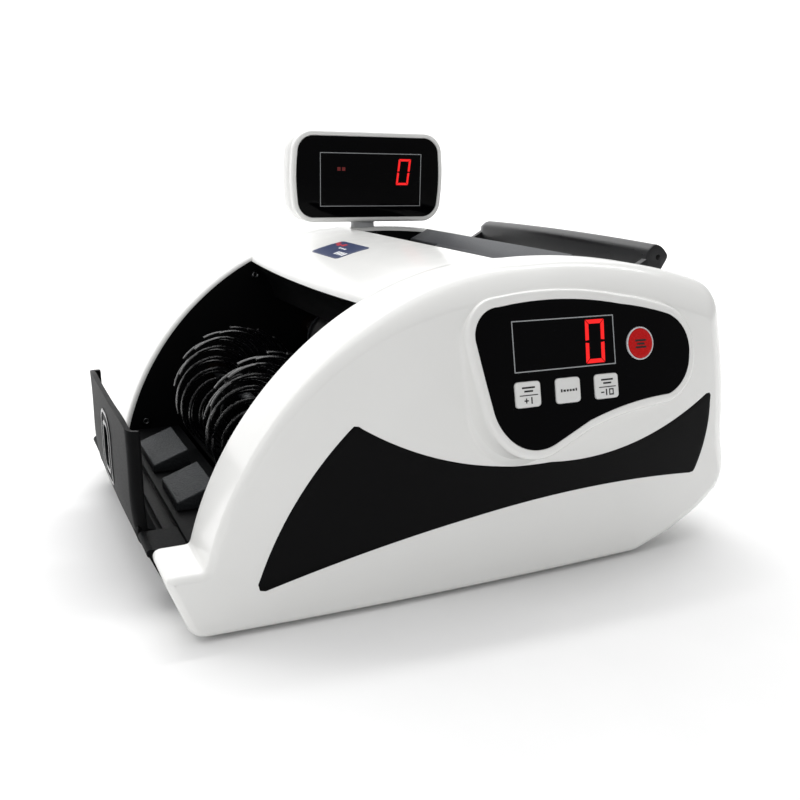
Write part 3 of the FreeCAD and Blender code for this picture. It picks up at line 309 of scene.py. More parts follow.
def rim_profile(count):
    """The rim's rounding as shares of its radius (inset, fall): a cubic curve that leaves the rim
    level, runs on as a slope, and meets the side face at a soft crease."""
    t = np.linspace(0, 1, count)
    inset = 3 * 0.6 * t ** 2 * (1 - t) + t ** 3
    fall = (1 - t) ** 3 + 3 * 0.52 * (1 - t) ** 2 * t + 3 * 0.15 * (1 - t) * t ** 2
    return inset, fall


def shell_y(x, z):
    """The near housing's surface over a point: the side face, less the rounding near the rim."""
    x, z = np.asarray(x, float), np.asarray(z, float)
    gap = np.stack([x.ravel(), z.ravel()], 1)[:, None, :] - SIDE[None, :, :]
    away = np.linalg.norm(gap, axis=2)
    nearest = away.argmin(1)
    radius = RIM_RADIUS[nearest]
    share = away[np.arange(len(away)), nearest] / radius
    fall = radius * np.interp(share, *rim_profile(60))
    return face_y(x) + fall.reshape(x.shape)


def housing(name, mirrored):
    """A side housing as one closed skin. Rings run round the side outline. From ring to ring the
    section goes: inner face, inner wall, a rounded lip, the rim along Y, the rim's profile scaled by
    the local radius, then the side face drawn in to its middle."""
    def on_face(flat, lift):
        return at_y(flat, face_y(flat[:, 0]) + lift)

    def offset(inset):
        return SIDE + SIDE_IN * np.broadcast_to(inset, len(SIDE))[:, None]

    def drawn_in(base, shares, lift):
        return [on_face(SIDE_HEART + (base - SIDE_HEART) * share, lift) for share in shares]

    rings = drawn_in(offset(RIM_RADIUS + WALL), np.linspace(0, 1, 7), WALL)
    for angle in np.radians([60, 30, 0]):
        level = WALL + RIM_RADIUS * (1 - math.sin(angle))
        rings.append(on_face(offset(WALL + RIM_RADIUS * (1 - math.cos(angle))), level))
    rings += [at_y(offset(WALL), y) for y in (RIM_INSIDE, BAY_NEAR)]
    for angle in np.radians(np.linspace(0, 90, 6)):
        rings.append(at_y(offset(LIP * (1 - math.sin(angle))), BAY_NEAR - LIP * (1 - math.cos(angle))))
    rings.append(at_y(SIDE, RIM_OUTSIDE))
    rings += [on_face(offset(RIM_RADIUS * inset), RIM_RADIUS * fall) for inset, fall in zip(*rim_profile(13))]
    rings += drawn_in(offset(RIM_RADIUS + 0.7), np.linspace(1, 0, 19), 0.0)
    points = np.stack(rings)
    if mirrored:
        points[..., 1] = DEPTH - points[..., 1]
    return grid(name, points)


def on_panel(u, v, depth):
    """The place of points on the sloping panel, in millimetres across, up and into the machine."""
    u, v, depth = (np.asarray(a, float)[..., None] for a in (u, v, depth))
    return PANEL_AT + u * PANEL_RIGHT + v * PANEL_UP - depth * PANEL_OUT


PANEL_EDGE = outline(PANEL_START, PANEL_STEPS, 420, soften=0.5)


def panel_surround(name):
    """The raised surround of the key panel. Each section starts in the seat, goes over a rounded lip,
    and falls along a cubic curve that leaves the lip square and lands along the side face."""
    out = -inward(PANEL_EDGE)

    def dropped(offset):
        """Points straight behind the panel's plane, at an offset, that lie on the side face."""
        flat = PANEL_EDGE + out * offset
        depth = np.zeros(len(flat))
        for _ in range(4):  # each round lands closer to the side face
            place = on_panel(flat[:, 0], flat[:, 1], depth)
            depth = depth + (shell_y(place[:, 0], place[:, 2]) - place[:, 1]) / math.cos(PANEL_TILT)
        return on_panel(flat[:, 0], flat[:, 1], depth), depth

    def at(offset, depth):
        flat = PANEL_EDGE + out * np.broadcast_to(offset, len(PANEL_EDGE))[:, None]
        return on_panel(flat[:, 0], flat[:, 1], np.broadcast_to(depth, len(PANEL_EDGE)))

    height = np.clip(dropped(np.full((len(out), 1), 5.0))[1], 0.6, None)
    height = smoothed(height, 5)
    lip = np.clip(0.55 * height, 0.5, 2.6)
    flare = (1.2 + 0.24 * height)[:, None]
    rows = [at(0.15, 3.0), at(0.15, 0.5), at(0.25, 0.15), at(0.6, 0.0), at(1.4, 0.0)]
    for angle in np.radians(np.linspace(0, 90, 8)):
        rows.append(at(4.6 - lip + lip * math.sin(angle), lip * (1 - math.cos(angle))))
    start = rows[-1]
    below = start - PANEL_OUT * (0.62 * np.maximum(height - lip, 0.1))[:, None]
    landing = dropped(4.6 + flare)[0]
    before = dropped(4.6 + 0.12 * flare)[0]
    for share in np.linspace(0, 1, 15)[1:]:
        rest = 1 - share
        rows.append(rest ** 3 * start + 3 * rest ** 2 * share * below
                    + 3 * rest * share ** 2 * before + share ** 3 * landing)
    rows.append(landing + np.array([0.0, 1.2, 0.0]))
    rows.append(at(0.15, 4.0) + np.array([0.0, 1.2, 0.0]))
    return grid(name, np.stack(rows), wrap_rows=True)


def patch(name, loop, corners, edge, place, counts=(90, 26)):
    """A thin plate with a rounded edge on a curved surface. The loop is split at four corners, its
    inside is a Coons patch (the two ruled surfaces less the bilinear one), and the edge is a list of
    (inset, rise) rings. place turns flat points and a rise into machine coordinates."""
    cuts = sorted(int(np.linalg.norm(loop - c, axis=1).argmin()) for c in corners)
    dense = np.vstack([loop, loop])
    sides, sizes = [], (counts[1], counts[0], counts[1], counts[0])
    for k in range(4):
        low, high = cuts[k], cuts[(k + 1) % 4] + (len(loop) if k == 3 else 0)
        run = dense[low:high + 1]
        along = np.concatenate([[0], np.cumsum(np.linalg.norm(np.diff(run, axis=0), axis=1))])
        wanted = np.linspace(0, along[-1], sizes[k] + 1)
        sides.append(np.stack([np.interp(wanted, along, run[:, j]) for j in (0, 1)], 1))
    first = np.concatenate([s[:-1] for s in sides])
    normal = inward(first)
    rings = [first + normal * inset for inset, _ in edge]
    rises = [rise for _, rise in edge]
    last = rings[-1]
    a, b = counts[1], counts[0]
    left, top = last[:a + 1], last[a:a + b + 1]
    right, bottom = last[a + b:2 * a + b + 1][::-1], np.vstack([last[2 * a + b:], last[:1]])[::-1]
    s, t = np.linspace(0, 1, a + 1)[:, None, None], np.linspace(0, 1, b + 1)[None, :, None]
    ruled = (1 - t) * left[:, None] + t * right[:, None] + (1 - s) * bottom[None] + s * top[None]
    bilinear = (1 - t) * ((1 - s) * left[0] + s * left[-1]) + t * ((1 - s) * right[0] + s * right[-1])
    inner = ruled - bilinear
    points = [place(ring, rise) for ring, rise in zip(rings, rises)]
    body = place(inner.reshape(-1, 2), rises[-1])
    back = place(inner.reshape(-1, 2), rises[0])
    ring_count = len(first)
    faces = [grid_faces(len(points), ring_count)]
    start = ring_count * len(points)
    for extra in (body, back):
        faces.append(grid_faces(a + 1, b + 1, wrap_columns=False, start=start))
        points.append(extra)
        start += len(extra)
    points += [place(rings[-1], rises[0]), points[0]]
    faces.append(grid_faces(2, ring_count, start=start))
    return build(name, np.concatenate(points), np.concatenate(faces))


def lozenge(centre, width, height, corner, count=96, bow=0.0):
    """A rectangle with round corners as a closed loop, and its four corner points. With a bow, its
    upright sides are arcs that stand out by that much."""
    (u, v), w, h, c = centre, width / 2, height / 2, corner
    k = c * (1 - math.sqrt(0.5))
    right, left = ((u + way * w, v + way * (h - c)) for way in (1, -1))
    if bow:
        right, left = (((u + way * (w + bow), v), end) for way, end in ((1, right), (-1, left)))
    loop = outline((u - w + c, v - h), [
        (u + w - c, v - h), ((u + w - k, v - h + k), (u + w, v - h + c)),
        right, ((u + w - k, v + h - k), (u + w - c, v + h)),
        (u - w + c, v + h), ((u - w + k, v + h - k), (u - w, v + h - c)),
        left, ((u - w + k, v - h + k), (u - w + c, v - h))], count)
    return loop, [(u + i * (w - k), v + j * (h - k)) for i, j in ((-1, -1), (1, -1), (1, 1), (-1, 1))]


# ------------------------------------------------------------------ materials
def srgb(code):
    """A hex colour as linear RGBA."""
    parts = [int(code[i:i + 2], 16) / 255 for i in (0, 2, 4)]
    return (*[c / 12.92 if c <= 0.04045 else ((c + 0.055) / 1.055) ** 2.4 for c in parts], 1.0)


def add(tree, kind, values=None, links=None):
    """Adds a node, sets its sockets or its own settings, and joins sockets to other nodes' outputs."""
    node = tree.nodes.new(kind)
    for name, value in (values or {}).items():
        if name in node.inputs:
            node.inputs[name].default_value = value
        else:
            setattr(node, name, value)
    for name, source in (links or {}).items():
        tree.links.new(source, node.inputs[name])
    return node


MATERIALS = {}


def surface(name, dark, light, rough, grain, relief, drift=40.0, stretch=(1, 1, 1), cells=False, **sockets):
    """A finish: its colour drifts between two tones over `drift` mm, and its grain (mm) varies the
    roughness and raises a relief (mm). stretch lengthens the grain along an axis."""
    material = bpy.data.materials.new(name)
    material.use_nodes = True
    tree = material.node_tree
    shader = tree.nodes["Principled BSDF"]
    place = add(tree, "ShaderNodeTexCoord").outputs["Object"]
    stretched = add(tree, "ShaderNodeMapping", {"Scale": [1 / s for s in stretch]}, {"Vector": place})
    slow = add(tree, "ShaderNodeTexNoise", {"Scale": MM / drift, "Detail": 2.0}, {"Vector": place})
    kind, output = ("ShaderNodeTexVoronoi", "Distance") if cells else ("ShaderNodeTexNoise", "Fac")
    texture = add(tree, kind, {"Scale": MM / grain}, {"Vector": stretched.outputs["Vector"]})
    fine = texture.outputs[output]
    ends = {"Color1": srgb(dark), "Color2": srgb(light)}
    tone = add(tree, "ShaderNodeMixRGB", ends, {"Fac": slow.outputs["Fac"]})
    spread = add(tree, "ShaderNodeMapRange", {"To Min": rough[0], "To Max": rough[1]}, {"Value": fine})
    bump = add(tree, "ShaderNodeBump", {"Strength": 1.0, "Distance": relief / MM}, {"Height": fine})
    tree.links.new(tone.outputs["Color"], shader.inputs["Base Color"])
    tree.links.new(spread.outputs["Result"], shader.inputs["Roughness"])
    tree.links.new(bump.outputs["Normal"], shader.inputs["Normal"])
    for socket, value in sockets.items():
        shader.inputs[socket.replace("_", " ")].default_value = value
    MATERIALS[name] = material
    return material


def make_materials(colours):
    # injection-moulded ABS from a polished tool: bright, with a faint waviness
    surface("polished_white_abs", "ECECEA", colours.white, (0.16, 0.24), 9.0, 0.004, drift=90.0, IOR=1.54)
    # the same ABS from an etched tool: a fine, even grain that breaks up the gloss
    surface("etched_black_abs", "070708", colours.black, (0.42, 0.6), 0.9, 0.02, Specular_IOR_Level=0.06)
    # smoother black ABS, a satin skin with slight flow marks
    surface("satin_black_abs", "09090A", "111214", (0.3, 0.42), 3.0, 0.006, Specular_IOR_Level=0.12)
    # black ABS polished on the raised ribs, where fingers rub it
    surface("polished_black_abs", "08080A", "0F1012", (0.12, 0.2), 3.0, 0.004, Specular_IOR_Level=0.6)
    # coarse spark-eroded ABS of the feed plate, a dull blue-grey
    surface("eroded_charcoal_abs", "34363A", "44474B", (0.48, 0.66), 0.8, 0.025, IOR=1.54)
    # printed and hard-coated acrylic film: near black, mirror smooth
    surface("coated_black_acrylic", "010102", "030304", (0.05, 0.09), 24.0, 0.001, Specular_IOR_Level=0.07)
    # moulded nitrile rubber: black, slightly bloomed
    surface("moulded_rubber", "0A0A0A", "171717", (0.38, 0.6), 1.2, 0.02, IOR=1.52)
    # cast polyurethane fingers: black with a wet-looking skin
    surface("cast_polyurethane", "050506", "0A0B0C", (0.2, 0.34), 2.0, 0.006, Specular_IOR_Level=0.35)
    # pads moulded with a cellular grain, its cells about a millimetre across
    surface("pebbled_elastomer", "1B1D1F", "292C2F", (0.5, 0.7), 1.0, 0.2, cells=True, Specular_IOR_Level=0.3)
    # black ABS of the grip, buffed by hands: a broader, brighter sheen
    surface("buffed_black_abs", "0B0B0C", "15161A", (0.24, 0.36), 3.0, 0.006, Specular_IOR_Level=0.45)
    # opaque silicone keys: soft light grey with a faint mottling
    surface("grey_silicone", "DCDDDC", colours.key, (0.4, 0.55), 1.0, 0.008, IOR=1.43)
    # pad-printed red cap, slightly glossy
    surface("red_abs", "B40606", colours.button, (0.22, 0.32), 1.6, 0.006, Specular_IOR_Level=0.25)
    # light grey ABS of the display's stem and the round button's ring
    surface("satin_grey_abs", "CDCFD2", "DADBDD", (0.3, 0.42), 1.4, 0.01, IOR=1.54)
    # centreless-ground shafts: fine rings round the bar, so the grain is short along Y
    surface("ground_steel", "8C8E90", "B4B6B8", (0.2, 0.36), 0.5, 0.004, stretch=(12, 1, 12), Metallic=1.0)
    # zinc-plated sheet: pale, slightly cloudy
    surface("zinc_plate", "8F949A", "B2B6BA", (0.3, 0.5), 2.4, 0.006, drift=18.0, Metallic=1.0)
    # black-oxide steel of the screws and the handle's rivet
    surface("blackened_steel", "161616", "242424", (0.25, 0.4), 0.6, 0.006, Metallic=1.0)
    # sintered bronze, open-pored, with its colour painted nearly black as painted shade of the dark bay the
    # bushes sit in
    surface("shade_darkened_bronze", "1E1812", "2C231A", (0.4, 0.6), 0.5, 0.02, Metallic=1.0)
    # natural nylon: waxy off-white
    surface("natural_nylon", "CFCBBE", "E2DFD4", (0.35, 0.5), 1.2, 0.008, IOR=1.53)
    # glass-epoxy laminate under green solder resist
    surface("green_laminate", "0B3A22", "14532F", (0.25, 0.45), 1.8, 0.02, IOR=1.55)
    # fluorescent tube's glass with a pale violet coat
    surface("coated_tube_glass", "8A7FC8", "B7AFE4", (0.06, 0.12), 6.0, 0.002, IOR=1.47)
    # coated paper labels and printed inks
    surface("navy_paper", "1D2C52", "2A3A63", (0.32, 0.5), 0.7, 0.01, IOR=1.45)
    for name, dark, light in (("red_ink", "B8202A", "C92F38"), ("white_ink", "DFE1E3", "F1F2F3"),
                              ("grey_ink", "8F9294", "A6A9AB"), ("black_ink", "141414", "202020")):
        surface(name, dark, light, (0.35, 0.5), 0.7, 0.004, IOR=1.45)
    # light-emitting segments behind smoked film: the light is a little uneven across the die
    for name, dark, light, glow in (("lit_segment", "6E0404", "8A0808", 0.95),
                                    ("dim_segment", "3A0808", "500C0A", 0.06)):
        surface(name, dark, light, (0.2, 0.3), 3.0, 0.0, IOR=1.49,
                Emission_Color=srgb(colours.lit), Emission_Strength=glow)


# The inner parts keep their own shape and take the finish of what they are made of.
INNER_FINISHES = {
    "etched_black_abs": "front_liner rear_liner base_pan note_guides",
    "satin_black_abs": "feed_drum", "eroded_charcoal_abs": "sensor_bar",
    "moulded_rubber": "rubber_feet drum_tyres feed_rollers pickup_rollers drive_belt stacker_belt "
                      "pickup_belt",
    "ground_steel": "drum_shaft stacker_shaft feed_shaft pickup_shaft pinch_roller motor_shaft stay_rods "
                    "hinge_pins",
    "zinc_plate": "drive_motor transformer encoder_disc", "blackened_steel": "case_screws",
    # the bushes' bronze is painted nearly black: painted shade of the bay round them
    "shade_darkened_bronze": "shaft_bushes",
    "natural_nylon": "drum_gear feed_gear drum_pulleys stacker_pulley pickup_pulley motor_pulley",
    "green_laminate": "main_board panel_board display_board", "coated_tube_glass": "uv_lamp",
    "coated_black_acrylic": "panel_overlay",
}


# ------------------------------------------------------------------ settings a user would change
class CounterSettings(bpy.types.PropertyGroup):
    white: bpy.props.StringProperty(
        name="White", description="Brighter tone of the white housings", default="F7F7F5")
    black: bpy.props.StringProperty(
        name="Black", description="Lighter tone of the etched black parts", default="0D0E0F")
    key: bpy.props.StringProperty(
        name="Keys", description="Lighter tone of the small keys", default="EDEDEB")
    button: bpy.props.StringProperty(
        name="Reset button", description="Brighter tone of the round button", default="CE0A0A")
    lit: bpy.props.StringProperty(
        name="Lit segments", description="Colour of the lit digits", default="FF1616")
    edge: bpy.props.FloatProperty(
        name="Edge rounding", description="Rounding of moulded edges, in metres",
        default=0.0008, min=0.0001, max=0.002, unit="LENGTH")
    fingers: bpy.props.IntProperty(
        name="Fingers", description="Rubber fingers in each of a wheel's two rows", default=14, min=6, max=20)
    key_light: bpy.props.FloatProperty(
        name="Main light", description="Power of the large overhead light, in watts", default=48.0, min=0.0)
    fill_light: bpy.props.FloatProperty(
        name="Fill light", description="Power of the light beside the camera, in watts", default=1.6, min=0.0)


def settings():
    return bpy.context.scene.counter_settings


class Undoable:
    """What the operators share."""
    bl_options = {"REGISTER", "UNDO"}


class COUNTER_OT_finishes(Undoable, bpy.types.Operator):
    """Makes every finish and gives the inner parts theirs"""
    bl_idname = "counter.finishes"
    bl_label = "Finishes"

    def execute(self, context):
        make_materials(settings())
        for finish_name, nodes in INNER_FINISHES.items():
            for node in nodes.split():
                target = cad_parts[node].data
                target.materials.clear()
                target.materials.append(MATERIALS[finish_name])
        return {"FINISHED"}


class COUNTER_OT_housings(Undoable, bpy.types.Operator):
    """Builds both side housings, the panel's surround and the black inlays"""
    bl_idname = "counter.housings"
    bl_label = "Side housings"

    def execute(self, context):
        for name, node in (("near_housing", "front_shell"), ("far_housing", "rear_shell")):
            piece = housing(name, mirrored=name == "far_housing")
            finish(piece, "polished_white_abs", replaces=[node])
        finish(panel_surround("panel_surround"), "polished_white_abs")
        loop = outline(SWOOSH_START, SWOOSH_STEPS, 900, soften=0.5)
        edge = [(0.0, -1.0), (0.0, 0.02), (0.1, 0.14), (0.35, 0.2)]

        def near_place(flat, rise):
            return at_y(flat, shell_y(flat[:, 0], flat[:, 1]) - rise)

        def far_place(flat, rise):
            return near_place(flat, rise) * [1, -1, 1] + [0, DEPTH, 0]

        for name, place, nodes in (("near_inlay", near_place, ["side_inlays"]),
                                   ("far_inlay", far_place, [])):
            inlay = patch(name, loop, SWOOSH_CORNERS, edge, place)
            finish(inlay, "coated_black_acrylic", replaces=nodes)
        return {"FINISHED"}


class COUNTER_OT_hood(Undoable, bpy.types.Operator):
    """Builds the white hood between the housings"""
    bl_idname = "counter.hood"
    bl_label = "Hood"

    FRONT, BOW, END, ROLL, THICK = 80.6, 2.2, 146.5, 2.4, 3.0

    def execute(self, context):
        """Rows run along Y and columns along the roof line. The front edge bows out by a parabola and
        rolls under by a quarter circle, and the inner skin is the roof line moved in by the wall."""
        across = np.linspace(BAY_NEAR - LIP, BAY_FAR + LIP, 60)[:, None]
        front = self.FRONT - self.BOW * (1 - ((across - BAY_MIDDLE) / (BAY_FAR - BAY_MIDDLE)) ** 2)
        x = front + (self.END - front) * np.linspace(0, 1, 50) ** 1.4
        y = np.broadcast_to(across, x.shape)
        from_edge = x - front
        short = self.ROLL - from_edge
        drop = np.where(short > 0, self.ROLL - np.sqrt(np.maximum(self.ROLL ** 2 - short ** 2, 0)), 0)
        outer = np.stack([x, y, roof_z(x) - drop], 2)
        inner_z = roof_z(np.maximum(x, front + 0.4)) - self.THICK - 0.4 * (from_edge < 1)
        inner = np.stack([x, y, inner_z], 2)
        hood = joined("roof_hood", [np.concatenate([outer, inner[:, ::-1]], 1)], capped=True)
        finish(hood, "polished_white_abs", replaces=["top_hood"])
        return {"FINISHED"}


def round_off(parts):
    """Finishes copies of frame parts: (node, share of the rounding, material, slot, body); the slot is not
    used.
    """
    for node, share, material, slot, body in parts:
        finish(softened(node, share), material, body, [node])


class COUNTER_OT_end_parts(Undoable, bpy.types.Operator):
    """Rounds the edges of the end cover, the power inlet and the rocker switch"""
    bl_idname = "counter.end_parts"
    bl_label = "End cover and switch"

    def execute(self, context):
        round_off([
            ("end_cover", 1.0, "polished_white_abs", "white_shell", "frame"),
            ("power_inlet", 0.625, "satin_black_abs", "black_abs", "frame"),
            ("rocker_frame", 0.625, "satin_black_abs", "black_gloss", "frame"),
            ("power_rocker", 0.625, "satin_black_abs", "black_abs", "rocker"),
        ])
        return {"FINISHED"}


class COUNTER_OT_note_bed(Undoable, bpy.types.Operator):
    """Rounds the edges of the feed plate, the stacker's floor and its pads"""
    bl_idname = "counter.note_bed"
    bl_label = "Note bed"

    def execute(self, context):
        round_off([
            ("feed_plate", 0.875, "eroded_charcoal_abs", "charcoal_abs", "frame"),
            ("stacker_floor", 0.625, "etched_black_abs", "charcoal_abs", "frame"),
            ("note_pads", 1.0, "pebbled_elastomer", "charcoal_abs", "frame"),
        ])
        return {"FINISHED"}


class COUNTER_OT_handle(Undoable, bpy.types.Operator):
    """Builds the carry handle's arms and the rounded, slightly arched grip over its bar"""
    bl_idname = "counter.handle"
    bl_label = "Carry handle"

    CORNERS = [(243.6, 153.4), (247.4, 156.3), (251.6, 154.8), (255.8, 150.6), (251.4, 143.4), (243.0, 142.8)]
    NEAR, FAR, RISE = 33.5, 207.7, 1.2
    RIVET_AT = (249.6, NEAR, 150.2)
    RIVET = [(0.0, -0.4), (1.5, -0.4), (1.5, 0.05), (1.2, 0.2), (0.0, 0.28)]

    def execute(self, context):
        """The section is the bar's six-sided outline, softened and grown; it rises along the length by
        a parabola, and shrinks at each end along a quarter ellipse."""
        round_off([("carry_handle", 1.125, "buffed_black_abs", "black_abs", "handle")])
        loop = outline(self.CORNERS[-1], self.CORNERS, 96, soften=1.1)
        loop -= inward(loop) * 1.0
        heart, normal = loop.mean(0), inward(loop)
        middle, half = (self.NEAR + self.FAR) / 2, (self.FAR - self.NEAR) / 2

        def row(y, inset):
            return at_y(loop + normal * inset, y, self.RISE * (1 - ((y - middle) / half) ** 2))

        def closing(y, inset):
            return [at_y(heart + (loop + normal * inset - heart) * share, y) for share in (0.5, 0.0)]

        rows = closing(self.NEAR, 0.9)[::-1]
        for angle in np.radians(np.linspace(0, 90, 5)):
            rows.append(row(self.NEAR + 0.9 * (1 - math.cos(angle)), 0.9 * (1 - math.sin(angle))))
        rows += [row(y, 0.0) for y in np.linspace(self.NEAR + 2.0, self.FAR - 6.0, 40)]
        for angle in np.radians(np.linspace(10, 90, 9)):
            rows.append(row(self.FAR - 5.0 * (1 - math.sin(angle)), 3.0 * (1 - math.cos(angle))))
        rows += closing(self.FAR, 3.0)
        finish(grid("handle_grip", np.stack(rows)), "buffed_black_abs", "handle")
        rivet = turned(self.RIVET, self.RIVET_AT, (0, -1, 0), (1, 0, 0), (0, 0, 1), 32)
        finish(grid("handle_rivet", rivet), "blackened_steel", "handle")
        return {"FINISHED"}


class COUNTER_OT_finger_wheels(Undoable, bpy.types.Operator):
    """Builds the two soft finger wheels that lay notes on the stacker"""
    bl_idname = "counter.finger_wheels"
    bl_label = "Finger wheels"

    AXLE, HUB, TIP, SWEEP = (56.0, 66.0), 11.0, 36.6, math.radians(108)
    SECTION = np.array([(-1, -0.5), (-0.5, -1), (0.5, -1), (1, -0.5),
                        (1, 0.5), (0.5, 1), (-0.5, 1), (-1, 0.5)])
    HUB_PROFILE = [(3.05, 0.0), (10.4, 0.0), (11.0, 0.6), (11.0, 5.2), (9.6, 5.6), (9.6, 6.4), (11.0, 6.8),
                   (11.0, 11.4), (10.4, 12.0), (3.05, 12.0)]

    def finger(self, start, middle):
        """A finger's radius runs from the hub to the tip as sin(0.46 pi t) while it turns by its sweep
        times t, and it thins towards the tip, where its rows close to a point."""
        t = np.linspace(0, 1, 22)
        turn = start + self.SWEEP * t
        root = self.HUB - 2
        radius = root + (self.TIP - root) * np.sin(0.46 * np.pi * t) / math.sin(0.46 * np.pi)
        line = np.stack([np.cos(turn), np.sin(turn)], 1) * radius[:, None]
        run = np.gradient(line, axis=0)
        run /= np.linalg.norm(run, axis=1, keepdims=True)
        side = np.stack([-run[:, 1], run[:, 0]], 1)
        half = (1.1 - 0.55 * t)[:, None, None]
        flat = self.AXLE + line[:, None] + side[:, None] * self.SECTION[None, :, :1] * half
        y = middle + self.SECTION[None, :, 1] * (2.5 - 0.9 * t[:, None])
        rows = np.stack([flat[..., 0], y, flat[..., 1]], 2)
        tip = np.broadcast_to(rows[-1:].mean(1, keepdims=True), (1, len(self.SECTION), 3))
        return np.concatenate([rows, tip])

    def execute(self, context):
        count = settings().fingers
        fingers, hubs = [], []
        for near in (80.0, 151.0):
            for row in range(2):
                turns = [math.tau / count * (n + row / 2) for n in range(count)]
                fingers += [self.finger(turn, near + 2.8 + 6.4 * row) for turn in turns]
            centre = (self.AXLE[0], near, self.AXLE[1])
            hubs.append(turned(self.HUB_PROFILE, centre, (0, 1, 0), (1, 0, 0), (0, 0, 1), 48))
        hubs = [np.concatenate([hub, hub[:1]]) for hub in hubs]
        wheels = joined("finger_wheels", fingers + hubs)
        finish(wheels, "cast_polyurethane", "stacker", ["stacker_wheels"])
        return {"FINISHED"}


class COUNTER_OT_catch_tray(Undoable, bpy.types.Operator):
    """Builds the bowed catch tray with its finger slot, ribs and hinge barrel"""
    bl_idname = "counter.catch_tray"
    bl_label = "Catch tray"

    NEAR, FAR, LOW, HIGH, THICK, WING = 57.0, 186.0, 21.0, 80.0, 2.6, -14.5
    HALF, CORNER, CORNER_SPAN = 64.5, 5.0, 24.0
    SLOT = (113.5, 129.5, 40.0, 64.0)
    SLOT_RIB = [(0.0, -0.4), (0.0, 0.3), (0.4, 0.58), (1.7, 0.58), (2.1, 0.3), (2.1, -2.7), (1.4, -2.7)]
    OUTER_RIB = [(0.0, -0.4), (0.0, 0.3), (0.4, 0.58), (1.4, 0.58), (1.8, 0.3), (1.8, -0.4)]
    BARREL = [(2.2, 57.0), (4.2, 57.0), (4.6, 57.4), (4.6, 185.6), (4.2, 186.0), (2.2, 186.0)]
    FOOT = [(-20.8, 29.0), (-20.0, 25.0), (-18.4, 22.2), (-15.4, 20.9), (-11.4, 20.6), (-9.0, 24.0),
            (-9.4, 27.6), (-12.0, 29.8), (-16.6, 31.6), (-20.2, 32.4)]

    def face_x(self, y, z):
        """The outer face: a parabola across the width, a lean at the top, a quarter ellipse at the foot."""
        share, lean = np.clip((50.0 - z) / 29.5, 0, 1), np.clip((z - 58.0) / 22.0, 0, 1)
        bow = ((y - BAY_MIDDLE) / self.HALF) ** 2
        return -23.4 + bow + 6.2 * (1 - np.sqrt(1 - share ** 2)) - 0.55 * lean ** 2

    def skin(self, y, height, inset):
        """The face at a depth behind the outer one, turned back near the ends by a quarter circle."""
        corner = self.CORNER - inset
        edge = np.clip(np.abs(y - BAY_MIDDLE) - (self.HALF - self.CORNER), 0, corner)
        bend = corner - np.sqrt(corner ** 2 - edge ** 2)
        return np.stack([self.face_x(y, height) + inset + bend, y, height], 2)

    def execute(self, context):
        """The wall is two skins on one grid of places, without the slot's cells, joined along their
        rim and round the slot."""
        near_slot, far_slot, low_slot, high_slot = self.SLOT
        corner_end, corner_start = self.NEAR + self.CORNER, self.FAR - self.CORNER
        across = np.unique(np.concatenate([
            np.linspace(self.NEAR, corner_end, 9), np.linspace(corner_end, near_slot, 22),
            np.linspace(near_slot, far_slot, 7), np.linspace(far_slot, corner_start, 22),
            np.linspace(corner_start, self.FAR, 9)]))
        up = np.unique(np.concatenate([
            np.linspace(self.LOW, low_slot, 12), np.linspace(low_slot, high_slot, 8),
            np.linspace(high_slot, self.HIGH, 8)]))
        y, z = np.meshgrid(across, up, indexing="ij")
        end = np.clip((np.abs(y - BAY_MIDDLE) - (self.HALF - self.CORNER_SPAN)) / self.CORNER_SPAN, 0, 1)
        height = z - (z - self.LOW) / (self.HIGH - self.LOW) * 2.0 * end ** 2
        outer = self.skin(y, height, 0.0)
        inner = self.skin(BAY_MIDDLE + (y - BAY_MIDDLE) * (1 - self.THICK / self.HALF), height, self.THICK)
        inner[:, -1, 2] -= 0.2
        rows, columns = y.shape
        wide = np.flatnonzero((across >= near_slot - 0.01) & (across <= far_slot + 0.01))[[0, -1]]
        tall = np.flatnonzero((up >= low_slot - 0.01) & (up <= high_slot + 0.01))[[0, -1]]
        places = np.arange(rows * columns).reshape(rows, columns)
        keep = np.ones((rows - 1, columns - 1), bool)
        keep[wide[0]:wide[1], tall[0]:tall[1]] = False
        face = grid_faces(rows, columns, wrap_columns=False)[keep.ravel()]
        faces = [face, face + places.size]
        for part in (places, places[wide[0]:wide[1] + 1, tall[0]:tall[1] + 1]):
            loop = np.concatenate([part[0, :-1], part[:-1, -1], part[-1, :0:-1], part[:0:-1, 0]])
            after = np.roll(loop, -1)
            faces.append(np.stack([loop, after, after + places.size, loop + places.size], 1))
        wing = self.wings(outer, inner)
        wall = np.concatenate([outer.reshape(-1, 3), inner.reshape(-1, 3)])
        tray = build("tray_wall", wall, np.concatenate(faces))
        finish(tray, "etched_black_abs", "tray", ["catch_tray"])
        finish(wing, "etched_black_abs", "tray")
        self.rib("tray_slot_rib", 18.6, 26.6, 6.0, self.SLOT_RIB)
        self.rib("tray_outer_rib", 31.0, 38.0, 11.0, self.OUTER_RIB)
        self.hub()
        return {"FINISHED"}

    def wings(self, outer, inner):
        """Two short wings carry the wall's ends back towards the machine. Each row is the wall's end
        moved by a share of the reach, thinner and lower towards the tip."""
        shapes = []
        for first, second, way in ((outer[0], inner[0], 1), (outer[-1], inner[-1], -1)):
            rows, still = [], np.zeros(len(first))
            for share in np.linspace(0, 1, 7):
                reach = share * (self.WING - 2.4 * share - first[:, 0])
                drop = -2.0 * share ** 2 * (first[:, 2] > 60)
                out = first + np.stack([reach, still + 0.35 * way * share, drop], 1)
                back = second + np.stack([0.9 * reach, still, drop], 1)
                rows.append(np.concatenate([out, back[::-1]]))
            shapes.append(np.stack(rows))
        return joined("tray_wings", shapes, capped=True)

